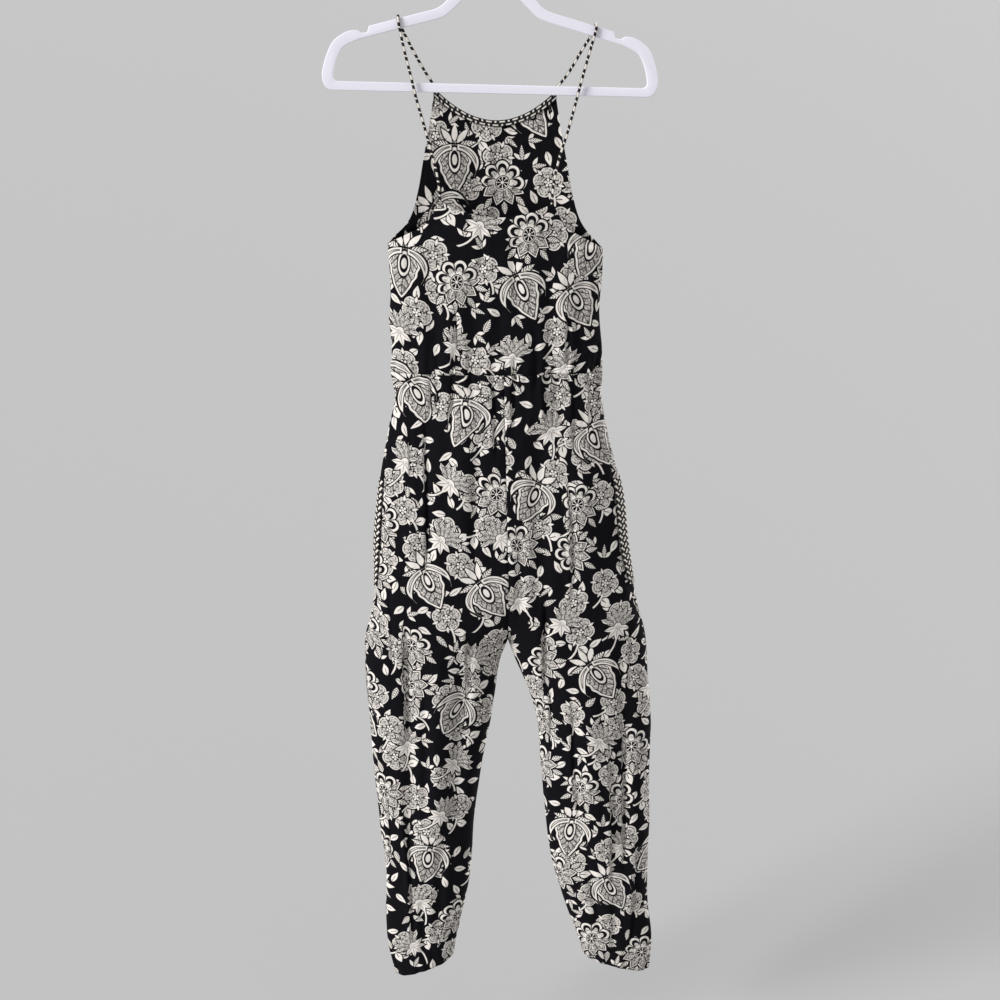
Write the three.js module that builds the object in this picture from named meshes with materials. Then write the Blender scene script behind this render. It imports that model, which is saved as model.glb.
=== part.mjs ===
import * as THREE from 'three';

// A sleeveless jumpsuit of light printed cloth on a flat plastic clothes hanger.
// Millimetres, +Z up. The origin is where the inside of the hook rests on its rail.
// -Y faces the viewer, who sees the low back; the high front hangs behind it. +X is to the viewer's right.

// Cloth
const WALL = 1.4;
const SEAM_GAP = 0.3;
const WAIST_Z = -578;
const UNDERARM_Z = -415;
const CROTCH_X = 14;
const RISE_TOP_Z = -850;
const CROTCH_Z = -950;
const HEM_Z = -1480;
const CENTRE_SEAM_TOP_X = 9;
const LEG_ROUNDING = { topZ: -760, bottomZ: -1090 };
const PANEL_ROUNDING = { topZ: -800, bottomZ: -950 };
const PARTING_POWER = 3;
const ROUNDING_POWER = 4;
const PANEL_COLUMNS = { bodice: 26, leg: 18 };
const ROWS = { bodice: 6, armhole: 8, hip: 9, rise: 6, leg: 12 };

// The front's neckline and the back's top edge, each a shallow curve between its two corners
const NECK = { cornerZ: -219, lowZ: -258 };
const BACK_TOP = { cornerZ: -357, lowZ: -376 };
const EDGE_SPREAD_POWER = 1.6;
const SWELL_RISE = 0.125;

// Braids
const NECK_TRIM = { height: 8, thickness: 3 };
const NECK_TRIM_SECTION = [
  { across: -0.25, up: 0 },
  { across: 0.25, up: 0 },
  { across: 0.5, up: 0.12 },
  { across: 0.5, up: 0.88 },
  { across: 0.25, up: 1 },
  { across: -0.25, up: 1 },
  { across: -0.5, up: 0.88 },
  { across: -0.5, up: 0.12 },
];
const POCKET_TRIM = { width: 17, thickness: 1.2, gap: 0.4, topZ: -723, bottomZ: -872, rows: 8, columns: 5 };
const STRAP = { radius: 1.9, sides: 6, steps: 84, hiddenEnd: 7 };

// Hanger: a flat moulding and a wire hook, hanging with its right end a little low
const TILT = THREE.MathUtils.degToRad(1.6);
const FRAME = { depth: 5, bevel: 0.8, curveSteps: 5 };
const NECK_TOP_Z = -62;
const ARM = { kneeX: 64, kneeZ: -123.5, slope: 0.27 };
const HOOK = { radius: 22, wireRadius: 1.7, neckRadius: 12, neckX: -1.5, straightEnd: 2, endAngle: 196 };
const HOOK_STEPS = { around: 8, along: 44, bend: 6, arc: 20 };

// Right half of the hanger's outline, from the neck round to the bar, with how far each corner is rounded
const FRAME_OUTSIDE = [
  { x: 8, z: -62, round: 0 },
  { x: 64, z: -123.5, round: 10 },
  { x: 151, z: -147, round: 0 },
  { x: 153, z: -154.5, round: 0 },
  { x: 160.5, z: -155.5, round: 0 },
  { x: 166, z: -152, round: 3 },
  { x: 178, z: -153.5, round: 6 },
  { x: 196, z: -165, round: 10 },
  { x: 205, z: -186, round: 9 },
  { x: 210, z: -207, round: 7 },
  { x: 205, z: -225, round: 10.5 },
];
const FRAME_INSIDE = [
  { x: 0, z: -79, round: 3 },
  { x: 58, z: -134.6, round: 10 },
  { x: 164, z: -163.2, round: 6 },
  { x: 184, z: -172.5, round: 9 },
  { x: 192, z: -190, round: 8 },
  { x: 197, z: -214, round: 9 },
];

// Cloth, across the body: the side edges, and how far the front and the back stand out between them
const BODICE = [
  { z: -415, left: -138, right: 138, front: 23, back: 23 },
  { z: -450, left: -136.5, right: 137, front: 25, back: 26 },
  { z: -485, left: -137, right: 134.5, front: 26, back: 27 },
  { z: -510, left: -139, right: 134.5, front: 27, back: 28 },
  { z: -545, left: -136, right: 138, front: 28, back: 29 },
  { z: -578, left: -138, right: 139, front: 28, back: 29 },
];

// Half widths of the two panels above the underarm, where the armholes cut in, and how far their edges
// and middles stand off the hanger's plane
const FRONT_ARMHOLE = [
  { z: -219, half: 77, edge: 9, bulge: 2 },
  { z: -260, half: 83, edge: 9.5, bulge: 5 },
  { z: -305, half: 91, edge: 9.5, bulge: 9 },
  { z: -350, half: 99, edge: 8.5, bulge: 13 },
  { z: -380, half: 108, edge: 6, bulge: 17 },
  { z: -400, half: 122, edge: 3, bulge: 20 },
  { z: -415, half: 138, edge: 0, bulge: 23 },
];
const BACK_ARMHOLE = [
  { z: -357, half: 72, edge: 15, bulge: 5 },
  { z: -374, half: 81, edge: 13, bulge: 9 },
  { z: -390, half: 92, edge: 10, bulge: 14 },
  { z: -404, half: 118, edge: 5, bulge: 19 },
  { z: -415, half: 138, edge: 0, bulge: 23 },
];

// Cloth, across the trousers: as for the bodice, with the turn of each side seam towards the viewer,
// in degrees
const TROUSERS = [
  { z: -578, left: -138, right: 139, front: 28, back: 29, leftTurn: 0, rightTurn: 0 },
  { z: -612, left: -133, right: 138, front: 27, back: 28, leftTurn: 0, rightTurn: 2 },
  { z: -650, left: -141, right: 144, front: 29, back: 31, leftTurn: 4, rightTurn: 7 },
  { z: -695, left: -150, right: 155, front: 33, back: 34, leftTurn: 11, rightTurn: 16 },
  { z: -750, left: -158, right: 168, front: 36, back: 37, leftTurn: 15, rightTurn: 21 },
  { z: -810, left: -164, right: 175, front: 38, back: 39, leftTurn: 16, rightTurn: 22 },
  { z: -870, left: -165, right: 184, front: 39, back: 40, leftTurn: 14, rightTurn: 21 },
  { z: -910, left: -171, right: 192, front: 38, back: 40, leftTurn: 10, rightTurn: 15 },
  { z: -950, left: -181, right: 203, front: 37, back: 39, leftTurn: 7, rightTurn: 9 },
  { z: -1010, left: -181, right: 208, front: 35, back: 37, leftTurn: 4, rightTurn: 4 },
  { z: -1070, left: -178, right: 213, front: 34, back: 35, leftTurn: 2, rightTurn: 2 },
  { z: -1150, left: -173, right: 213, front: 32, back: 33, leftTurn: 0, rightTurn: 0 },
  { z: -1226, left: -168, right: 215, front: 30, back: 31, leftTurn: 0, rightTurn: 0 },
  { z: -1304, left: -160, right: 214, front: 27, back: 28, leftTurn: 0, rightTurn: 0 },
  { z: -1369, left: -162, right: 216, front: 23, back: 24, leftTurn: 0, rightTurn: 0 },
  { z: -1428, left: -161, right: 222, front: 18, back: 19, leftTurn: 0, rightTurn: 0 },
  { z: -1480, left: -152, right: 220, front: 12, back: 13, leftTurn: 0, rightTurn: 0 },
];

// Where the inside of each leg hangs
const INSEAM = [
  { z: -950, left: 14, right: 14 },
  { z: -984, left: 3, right: 25 },
  { z: -1032, left: -4, right: 44 },
  { z: -1077, left: -11, right: 55 },
  { z: -1152, left: -25, right: 61 },
  { z: -1229, left: -35, right: 68 },
  { z: -1310, left: -40, right: 79 },
  { z: -1392, left: -51, right: 97 },
  { z: -1480, left: -66, right: 122 },
];

// The hem's edge: its inner end hangs higher than its outer end, and its corners curl in
const HEM = { innerLift: 30, cornerLift: 9, cornerPower: 3, startZ: -1240 };

// The largest folds: a depth above 0 is a trough, below 0 a ridge
const FOLDS = [
  { side: 'back', topZ: -405, bottomZ: -600, topX: -84, bottomX: -78, depth: 4, width: 17 },
  { side: 'back', topZ: -420, bottomZ: -640, topX: -28, bottomX: -30, depth: 3, width: 18 },
  { side: 'back', topZ: -410, bottomZ: -690, topX: 66, bottomX: 78, depth: 5, width: 17 },
  { side: 'back', topZ: -430, bottomZ: -640, topX: 108, bottomX: 112, depth: 4, width: 15 },
  { side: 'back', topZ: -600, bottomZ: -890, topX: -92, bottomX: -98, depth: 7, width: 19 },
  { side: 'back', topZ: -590, bottomZ: -800, topX: -40, bottomX: -52, depth: -4, width: 22 },
  { side: 'back', topZ: -610, bottomZ: -930, topX: 52, bottomX: 60, depth: 4, width: 20 },
  { side: 'back', topZ: -640, bottomZ: -900, topX: 112, bottomX: 128, depth: -4, width: 24 },
  { side: 'back', topZ: -870, bottomZ: -1330, topX: -124, bottomX: -122, depth: 7, width: 18 },
  { side: 'back', topZ: -900, bottomZ: -1300, topX: -80, bottomX: -88, depth: -4, width: 24 },
  { side: 'back', topZ: -930, bottomZ: -1290, topX: -42, bottomX: -66, depth: 6, width: 17 },
  { side: 'back', topZ: -870, bottomZ: -1110, topX: 60, bottomX: 76, depth: 5, width: 17 },
  { side: 'back', topZ: -960, bottomZ: -1330, topX: 118, bottomX: 140, depth: -5, width: 26 },
  { side: 'back', topZ: -880, bottomZ: -1340, topX: 172, bottomX: 178, depth: 7, width: 18 },
  { side: 'front', topZ: -300, bottomZ: -560, topX: -46, bottomX: -62, depth: 3, width: 18 },
  { side: 'front', topZ: -290, bottomZ: -570, topX: 40, bottomX: 58, depth: 3, width: 18 },
  { side: 'front', topZ: -430, bottomZ: -680, topX: -8, bottomX: 4, depth: -3, width: 22 },
  { side: 'front', topZ: -590, bottomZ: -880, topX: -88, bottomX: -102, depth: 6, width: 19 },
  { side: 'front', topZ: -600, bottomZ: -860, topX: 94, bottomX: 112, depth: 6, width: 19 },
  { side: 'front', topZ: -620, bottomZ: -900, topX: -36, bottomX: -44, depth: 4, width: 19 },
  { side: 'front', topZ: -610, bottomZ: -900, topX: 56, bottomX: 64, depth: 4, width: 19 },
  { side: 'front', topZ: -900, bottomZ: -1320, topX: -118, bottomX: -116, depth: 6, width: 18 },
  { side: 'front', topZ: -940, bottomZ: -1300, topX: -48, bottomX: -68, depth: 5, width: 17 },
  { side: 'front', topZ: -930, bottomZ: -1330, topX: 158, bottomX: 172, depth: 6, width: 18 },
  { side: 'front', topZ: -950, bottomZ: -1250, topX: 92, bottomX: 104, depth: 5, width: 17 },
];
const FOLD_FADE = 0.28;
const NORMAL_STEP = 0.002;
const WIDTH_STEP = 0.01;

// The whole garment leans with the hanger at the top and hangs plumb below the hips
const LEAN = [
  { z: -200, slope: 0.028 },
  { z: -415, slope: 0.03 },
  { z: -578, slope: 0.01 },
  { z: -800, slope: 0 },
  { z: -1500, slope: 0 },
];

// Each strap as it shows: the strand in front of the hanger from the back's top up to the arm, and the
// strand behind it from the arm down to the front's neck corner
const STRAP_LEFT = [
  { strand: 'near', x: -73, z: -328 },
  { strand: 'near', x: -81, z: -294 },
  { strand: 'near', x: -89, z: -263 },
  { strand: 'near', x: -98, z: -231 },
  { strand: 'near', x: -105, z: -201 },
  { strand: 'near', x: -112.5, z: -170 },
  { strand: 'over', x: -119, z: -137 },
  { strand: 'far', x: -104, z: -168 },
  { strand: 'far', x: -86, z: -200 },
];
const STRAP_RIGHT = [
  { strand: 'near', x: 73.5, z: -333 },
  { strand: 'near', x: 80, z: -303 },
  { strand: 'near', x: 89, z: -276 },
  { strand: 'near', x: 98, z: -244 },
  { strand: 'near', x: 106, z: -214 },
  { strand: 'near', x: 114, z: -185 },
  { strand: 'over', x: 125, z: -144 },
  { strand: 'far', x: 109, z: -172 },
  { strand: 'far', x: 90, z: -203 },
];
const ARM_LOOP = [
  { across: -1, up: -0.6 },
  { across: -0.92, up: 0.4 },
  { across: -0.5, up: 0.95 },
  { across: 0, up: 1.08 },
  { across: 0.5, up: 0.95 },
  { across: 0.92, up: 0.4 },
  { across: 1, up: -0.6 },
];
const STRAP_REACH = { atArm: 5.2, loopOut: 4.9, loopLift: 2.7, atBack: 11.2, atFront: 8.3, endLift: 1.5 };

const printedCloth = new THREE.MeshStandardMaterial({ color: 0x2b2a2d, roughness: 0.85, metalness: 0 });
const braid = new THREE.MeshStandardMaterial({ color: 0x8f8a80, roughness: 0.8, metalness: 0 });
const whitePlastic = new THREE.MeshStandardMaterial({ color: 0xe4e2ee, roughness: 0.4, metalness: 0 });
const chromedWire = new THREE.MeshStandardMaterial({ color: 0xc8cacc, roughness: 0.15, metalness: 1 });

const clamp01 = (t) => Math.min(1, Math.max(0, t));
const lerp = THREE.MathUtils.lerp;
const smooth = (t) => clamp01(t) * clamp01(t) * (3 - 2 * clamp01(t));

// A column of a table at any height, with smooth slopes through its rows
function valueAt(table, z, column) {
  const last = table.length - 1;
  if (z >= table[0].z) return table[0][column];
  if (z <= table[last].z) return table[last][column];
  const i = table.findIndex((row) => row.z < z) - 1;
  const slopeAt = (k) => {
    const a = table[Math.max(0, k - 1)];
    const b = table[Math.min(last, k + 1)];
    return (b[column] - a[column]) / (b.z - a.z);
  };
  const span = table[i + 1].z - table[i].z;
  const t = (z - table[i].z) / span;
  const start = table[i][column];
  const end = table[i + 1][column];
  const bend = t * (1 - t) * span;
  const straight = lerp(start, end, t * t * (3 - 2 * t));
  return straight + bend * ((1 - t) * slopeAt(i) - t * slopeAt(i + 1));
}

// How far the folds of one side push the cloth in at a place
function foldDepth(side, x, z) {
  let depth = 0;
  for (const fold of FOLDS) {
    const along = (z - fold.topZ) / (fold.bottomZ - fold.topZ);
    if (fold.side !== side || along <= 0 || along >= 1) continue;
    const across = Math.abs(x - lerp(fold.topX, fold.bottomX, along)) / fold.width;
    if (across >= 1) continue;
    const fade = smooth(along / FOLD_FADE) * smooth((1 - along) / FOLD_FADE);
    depth += fold.depth * fade * Math.cos(across * Math.PI / 2) ** 2;
  }
  return depth;
}

function leaned(x, y, z) {
  return new THREE.Vector3(x, y, z - x * valueAt(LEAN, z, 'slope'));
}

// The bodice below the underarm is a flattened ring; s runs from the left side seam to the right one
function bodicePoint(side, s, z) {
  const left = valueAt(BODICE, z, 'left');
  const right = valueAt(BODICE, z, 'right');
  const depth = valueAt(BODICE, z, side);
  const trim = SEAM_GAP / 2 / depth;
  const angle = lerp(trim, Math.PI - trim, s);
  const x = lerp(left, right, (1 - Math.cos(angle)) / 2);
  const out = (depth - foldDepth(side, x, z)) * Math.sin(angle);
  return leaned(x, side === 'front' ? out : -out, z);
}

// Above the underarm a panel narrows to its own top edge, and its section opens from a half ring into a
// shallow curve; rise runs from 0 there to 1 at the edge
function upperPoint(side, s, rise, topDrop) {
  const table = side === 'front' ? FRONT_ARMHOLE : BACK_ARMHOLE;
  const top = side === 'front' ? NECK : BACK_TOP;
  const level = lerp(UNDERARM_Z, top.cornerZ, rise);
  const half = valueAt(table, level, 'half');
  const trim = SEAM_GAP / 2 / BODICE[0][side] * (1 - rise);
  const angle = lerp(trim, Math.PI - trim, clamp01(s));
  const share = -Math.cos(angle);
  const swell = Math.sin(angle) ** (1 + smooth(rise / SWELL_RISE));
  const slope = 2 * (top.cornerZ - top.lowZ) * share / half;
  const sag = (top.cornerZ - top.lowZ) * (1 - share * share) + topDrop * Math.hypot(1, slope);
  const z = level - sag * rise ** EDGE_SPREAD_POWER;
  const x = half * share;
  const bulge = valueAt(table, level, 'bulge') - foldDepth(side, x, z) * Math.sin(angle);
  const out = valueAt(table, level, 'edge') + bulge * swell;
  return leaned(x, side === 'front' ? out : -out, z);
}

function hemFade(z) {
  return smooth((HEM.startZ - z) / (HEM.startZ - HEM_Z));
}

// A point of one leg's section at an angle round it, from its outer side at 0. Above the rise the section
// is a quarter ring that ends at the centre seam, and below the crotch a half ring that ends at the inseam
function legPoint(side, leg, angle, spread, level) {
  const closing = clamp01((RISE_TOP_Z - level) / (RISE_TOP_Z - CROTCH_Z));
  const outer = valueAt(TROUSERS, level, leg);
  const centre = lerp(CENTRE_SEAM_TOP_X, CROTCH_X, clamp01((WAIST_Z - level) / (WAIST_Z - RISE_TOP_Z)));
  const split = leg === 'left' ? -SEAM_GAP / 2 : SEAM_GAP / 2;
  const inner = (level >= CROTCH_Z ? centre : valueAt(INSEAM, level, leg)) + split * closing;
  const share = (1 - Math.cos(angle)) / (1 - Math.cos(spread));
  const parting = lerp(PARTING_POWER, 1, clamp01((CROTCH_Z - level) / (CROTCH_Z - LEG_ROUNDING.bottomZ)));
  const x = lerp(outer, centre, share) + (inner - centre) * share ** parting;
  const within = Math.min(1, share);
  const innerRound = Math.PI / 2 + Math.asin(closing);
  const roundness = lerp(ringSpread(LEG_ROUNDING, level), innerRound, within ** ROUNDING_POWER);
  const reach = Math.sin(Math.acos(1 - within * (1 - Math.cos(roundness))));
  const ahead = Math.sign(Math.sin(angle));
  const depth = valueAt(TROUSERS, level, side) - foldDepth(side, x, level) * Math.max(0, reach * ahead);
  const corner = (1 - Math.sin(Math.PI * within)) ** HEM.cornerPower;
  const z = level + hemFade(level) * (HEM.innerLift * share + HEM.cornerLift * corner);
  return leaned(x, depth * reach * ahead * (side === 'front' ? 1 : -1), z);
}

// How far round a leg's section goes at a level: a quarter ring at topZ, a half ring at bottomZ
function ringSpread(range, level) {
  return Math.PI / 2 * (1 + smooth((range.topZ - level) / (range.topZ - range.bottomZ)));
}

// One quarter of the trousers; s runs from the side seam to the centre seam, or below the crotch to the
// inseam
function trouserPoint(side, leg, s, level) {
  const spread = ringSpread(PANEL_ROUNDING, level);
  const degrees = valueAt(TROUSERS, level, `${leg}Turn`);
  const turn = THREE.MathUtils.degToRad(degrees) * (side === 'front' ? -1 : 1);
  const at = (angle) => legPoint(side, leg, angle, spread, level);
  const gapAt = (angle) => SEAM_GAP / 2 * NORMAL_STEP / at(angle).distanceTo(at(angle - NORMAL_STEP));
  return at(lerp(turn + gapAt(turn), spread - gapAt(spread), s));
}

// A closed wall on a surface pointAt(s, r): each outer point has its inner point a wall's thickness further
// in, level with it. side is 1 where inwards lies to the left of rising s, seen from above, and -1 where
// it lies to the right
function wallGeometry(pointAt, columns, rowValues, thickness, side) {
  const outer = [];
  const inner = [];
  for (const r of rowValues) {
    for (let c = 0; c <= columns; c += 1) {
      const point = pointAt(c / columns, r);
      outer.push(point);
      inner.push(point.clone().addScaledVector(levelNormal(pointAt, c / columns, r), thickness * side));
    }
  }
  const count = outer.length;
  const width = columns + 1;
  const height = rowValues.length;
  const faces = [];
  const quad = (a, b, c, d) => faces.push(a, b, c, a, c, d);
  for (let a = 0; a + width < count; a += 1) {
    if (a % width === columns) continue;
    quad(a, a + width, a + width + 1, a + 1);
    quad(a + count, a + count + 1, a + count + width + 1, a + count + width);
  }
  const rim = [];
  for (let c = 0; c < columns; c += 1) rim.push(c);
  for (let r = 0; r < height - 1; r += 1) rim.push(r * width + columns);
  for (let c = columns; c > 0; c -= 1) rim.push((height - 1) * width + c);
  for (let r = height - 1; r > 0; r -= 1) rim.push(r * width);
  rim.forEach((a, k) => {
    const b = rim[(k + 1) % rim.length];
    quad(a, b, b + count, a + count);
  });
  return solidOf([...outer, ...inner], side > 0 ? faces : faces.reverse());
}

// The direction to the left of rising s, seen from above
function levelNormal(pointAt, s, r) {
  const across = pointAt(s + NORMAL_STEP, r).sub(pointAt(s - NORMAL_STEP, r)).setZ(0).normalize();
  return new THREE.Vector3(-across.y, across.x, 0);
}

function solidOf(points, faces) {
  const geometry = new THREE.BufferGeometry();
  geometry.setFromPoints(points);
  geometry.setIndex(faces);
  geometry.computeVertexNormals();
  return geometry;
}

function meshOf(name, geometry, material) {
  const mesh = new THREE.Mesh(geometry, material);
  mesh.name = name;
  return mesh;
}

const evenly = (count, valueOf) => Array.from({ length: count + 1 }, (_, i) => valueOf(i / count));

// 1 where inwards is to the left of a panel's columns, seen from above, and -1 where it is to the right
const inwardSide = (side, leg) => (side === 'front' ? -1 : 1) * (leg === 'right' ? -1 : 1);

function bodice(side) {
  const topDrop = side === 'front' ? NECK_TRIM.height + SEAM_GAP : 0;
  const pointAt = (s, row) => {
    if (row < 1) return upperPoint(side, s, 1 - row, topDrop);
    return bodicePoint(side, s, lerp(UNDERARM_Z, WAIST_Z + SEAM_GAP / 2, row - 1));
  };
  const upperRows = evenly(ROWS.armhole, (t) => t);
  const lowerRows = evenly(ROWS.bodice, (t) => 1 + t);
  const rows = [...upperRows, ...lowerRows.slice(1)];
  const geometry = wallGeometry(pointAt, PANEL_COLUMNS.bodice, rows, WALL, inwardSide(side));
  return meshOf(`${side}_bodice`, geometry, printedCloth);
}

function trouserPanel(side, leg) {
  const pointAt = (s, level) => trouserPoint(side, leg, s, level);
  const hip = evenly(ROWS.hip, (t) => lerp(WAIST_Z - SEAM_GAP / 2, RISE_TOP_Z, t));
  const rise = evenly(ROWS.rise, (t) => lerp(RISE_TOP_Z, CROTCH_Z, Math.sin(t * Math.PI / 2)));
  const below = evenly(ROWS.leg, (t) => lerp(CROTCH_Z, HEM_Z, t));
  const levels = [...hip, ...rise.slice(1), ...below.slice(1)];
  const geometry = wallGeometry(pointAt, PANEL_COLUMNS.leg, levels, WALL, inwardSide(side, leg));
  return meshOf(`${side}_trouser_${leg}`, geometry, printedCloth);
}

// The braid round the neck stands on the front's top edge, in line with its wall
function neckTrim() {
  const { height, thickness } = NECK_TRIM;
  const sections = evenly(PANEL_COLUMNS.bodice, (s) => {
    const low = upperPoint('front', s, 1, height);
    const high = upperPoint('front', s, 1, 0);
    const middle = low.y - WALL / 2;
    const at = (across, up) => new THREE.Vector3(low.x, middle + across * thickness, lerp(low.z, high.z, up));
    return NECK_TRIM_SECTION.map(({ across, up }) => at(across, up));
  });
  return meshOf('neck_trim', loftGeometry(sections), braid);
}

// Joins closed sections of equal count into a solid with flat ends
function loftGeometry(sections) {
  const sides = sections[0].length;
  const faces = [];
  for (let start = 0; start < (sections.length - 1) * sides; start += sides) {
    for (let i = 0; i < sides; i += 1) {
      const [a, b] = [start + i, start + (i + 1) % sides];
      faces.push(a, b, b + sides, a, b + sides, a + sides);
    }
  }
  const end = (sections.length - 1) * sides;
  for (let i = 1; i + 1 < sides; i += 1) {
    faces.push(0, i + 1, i);
    faces.push(end, end + i, end + i + 1);
  }
  return solidOf(sections.flat(), faces);
}

// The braid along a pocket's mouth lies on the front panel, just past the side seam
function pocketTrim(leg) {
  const panelAt = (s, level) => trouserPoint('front', leg, s, level);
  const side = inwardSide('front', leg);
  const lift = -side * (POCKET_TRIM.gap + POCKET_TRIM.thickness);
  const pointAt = (across, level) => {
    const s = across * widthShare(panelAt, level, POCKET_TRIM.width);
    return panelAt(s, level).addScaledVector(levelNormal(panelAt, s, level), lift);
  };
  const levels = evenly(POCKET_TRIM.rows, (t) => lerp(POCKET_TRIM.topZ, POCKET_TRIM.bottomZ, t));
  const geometry = wallGeometry(pointAt, POCKET_TRIM.columns, levels, POCKET_TRIM.thickness, side);
  return meshOf(`pocket_trim_${leg}`, geometry, braid);
}

// The share of a panel's width that a strip of this width takes up from the side seam
function widthShare(panelAt, level, width) {
  const step = WIDTH_STEP;
  let length = 0;
  let share = 0;
  while (length < width) {
    length += panelAt(share, level).distanceTo(panelAt(share + step, level));
    share += step;
  }
  return share - step * (length - width) / width;
}

// A round bar along a smooth curve
function tube(points, radius, sides, steps) {
  const section = new THREE.Shape(evenly(sides, (t) => new THREE.Vector2(radius, 0).rotateAround(
    new THREE.Vector2(), t * 2 * Math.PI)).slice(1));
  const path = new THREE.CatmullRomCurve3(points, false, 'centripetal');
  return new THREE.ExtrudeGeometry(section, { steps, extrudePath: path, bevelEnabled: false });
}

// A strap runs from inside the back's top edge, up in front of the hanger, over its arm and down behind it
function strap(name, table) {
  const sideShare = name === 'strap_left' ? 0 : 1;
  const over = table.find((row) => row.strand === 'over');
  const strands = { near: [], over: [], far: [] };
  const backCorner = upperPoint('back', sideShare, 1, 0);
  const frontCorner = upperPoint('front', sideShare, 1, 0);
  const inset = -Math.sign(over.x) * STRAP.radius;
  for (const row of table.filter((one) => one.strand === 'near')) {
    const down = (over.z - row.z) / (over.z - backCorner.z);
    strands.near.push(new THREE.Vector3(row.x, -lerp(STRAP_REACH.atArm, STRAP_REACH.atBack, down), row.z));
  }
  for (const row of table.filter((one) => one.strand === 'far')) {
    const down = (over.z - row.z) / (over.z - frontCorner.z);
    strands.far.push(new THREE.Vector3(row.x, lerp(STRAP_REACH.atArm, STRAP_REACH.atFront, down), row.z));
  }
  for (const { across, up } of ARM_LOOP) {
    const lift = up * STRAP_REACH.loopLift;
    strands.over.push(new THREE.Vector3(over.x, across * STRAP_REACH.loopOut, armTopAt(over.x) + lift));
  }
  const { atBack, atFront, endLift } = STRAP_REACH;
  const start = new THREE.Vector3(backCorner.x + inset, -atBack, backCorner.z - STRAP.hiddenEnd);
  const end = new THREE.Vector3(frontCorner.x + inset, atFront, frontCorner.z + endLift);
  const points = [start, ...strands.near, ...strands.over, ...strands.far, end];
  return meshOf(name, tube(points, STRAP.radius, STRAP.sides, STRAP.steps), braid);
}

// Height of the arm's upper edge on the turned hanger, above a place on the part's X axis
function armTopAt(x) {
  const along = Math.abs(x - ARM.kneeZ * Math.tan(TILT));
  const own = ARM.kneeZ - (along - ARM.kneeX) * ARM.slope;
  return own - x * Math.tan(TILT);
}

// Draws a closed outline through corners, each rounded off
function roundedOutline(shape, corners) {
  corners.forEach((corner, i) => {
    const before = corners[(i + corners.length - 1) % corners.length];
    const after = corners[(i + 1) % corners.length];
    const at = new THREE.Vector2(corner.x, corner.z);
    const reach = (other) => new THREE.Vector2(other.x, other.z).sub(at).setLength(corner.round).add(at);
    const [start, end] = corner.round > 0 ? [reach(before), reach(after)] : [at, at];
    if (i === 0) shape.moveTo(start.x, start.y);
    else shape.lineTo(start.x, start.y);
    if (corner.round > 0) shape.quadraticCurveTo(at.x, at.y, end.x, end.y);
  });
  shape.closePath();
  return shape;
}

function bothHalves(half) {
  const mirrored = half.filter((corner) => corner.x > 0).map((corner) => ({ ...corner, x: -corner.x }));
  return [...half, ...mirrored.reverse()];
}

function hangerFrame() {
  const outline = roundedOutline(new THREE.Shape(), bothHalves(FRAME_OUTSIDE));
  outline.holes.push(roundedOutline(new THREE.Path(), bothHalves(FRAME_INSIDE).reverse()));
  const geometry = new THREE.ExtrudeGeometry(outline, {
    depth: FRAME.depth - 2 * FRAME.bevel,
    curveSegments: FRAME.curveSteps,
    bevelSize: FRAME.bevel,
    bevelThickness: FRAME.bevel,
    bevelOffset: -FRAME.bevel,
    bevelSegments: 1,
  });
  geometry.translate(0, 0, FRAME.bevel - FRAME.depth / 2);
  geometry.rotateX(Math.PI / 2);
  geometry.rotateY(TILT);
  return meshOf('hanger_frame', geometry, whitePlastic);
}

// The hook rises from the neck, bends to one side and passes over its rail, which touches it at the origin
function hangerHook() {
  const around = new THREE.Vector2(0, HOOK.wireRadius - HOOK.radius);
  const bendX = HOOK.neckX + HOOK.neckRadius;
  const drop = Math.sqrt((HOOK.radius + HOOK.neckRadius) ** 2 - bendX ** 2);
  const bend = new THREE.Vector2(bendX, around.y - drop);
  const meeting = bend.clone().sub(around).angle() - 2 * Math.PI;
  const end = THREE.MathUtils.degToRad(HOOK.endAngle);
  const bendArc = arcPoints(bend, HOOK.neckRadius, Math.PI, meeting + Math.PI, HOOK_STEPS.bend);
  const mainArc = arcPoints(around, HOOK.radius, meeting, end, HOOK_STEPS.arc);
  const stemStart = new THREE.Vector3(HOOK.neckX, 0, NECK_TOP_Z + SEAM_GAP);
  const stemEnd = new THREE.Vector3(HOOK.neckX, 0, bend.y - HOOK.straightEnd);
  const points = [stemStart, stemEnd, ...bendArc, ...mainArc.slice(1)];
  const wire = tube(points, HOOK.wireRadius, HOOK_STEPS.around, HOOK_STEPS.along);
  return meshOf('hanger_hook', wire, chromedWire);
}

// Points along an arc in the hanger's plane, whose centre is given as x and z
function arcPoints(centre, radius, start, end, steps) {
  return evenly(steps, (t) => {
    const angle = lerp(start, end, t);
    return new THREE.Vector3(centre.x + radius * Math.cos(angle), 0, centre.y + radius * Math.sin(angle));
  });
}

const part = new THREE.Group();
part.name = 'jumpsuit_on_hanger';
part.add(
  bodice('front'),
  bodice('back'),
  trouserPanel('front', 'left'),
  trouserPanel('front', 'right'),
  trouserPanel('back', 'left'),
  trouserPanel('back', 'right'),
  neckTrim(),
  pocketTrim('left'),
  pocketTrim('right'),
  strap('strap_left', STRAP_LEFT),
  strap('strap_right', STRAP_RIGHT),
  hangerFrame(),
  hangerHook(),
);

export default part;
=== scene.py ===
"""Looks of a printed jumpsuit on a clothes hanger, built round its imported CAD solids."""
import logging
import math
from dataclasses import dataclass, field
from enum import Enum
from typing import Any, Callable, Sequence

import bpy
import numpy as np
from mathutils import Matrix, Vector, noise


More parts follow.
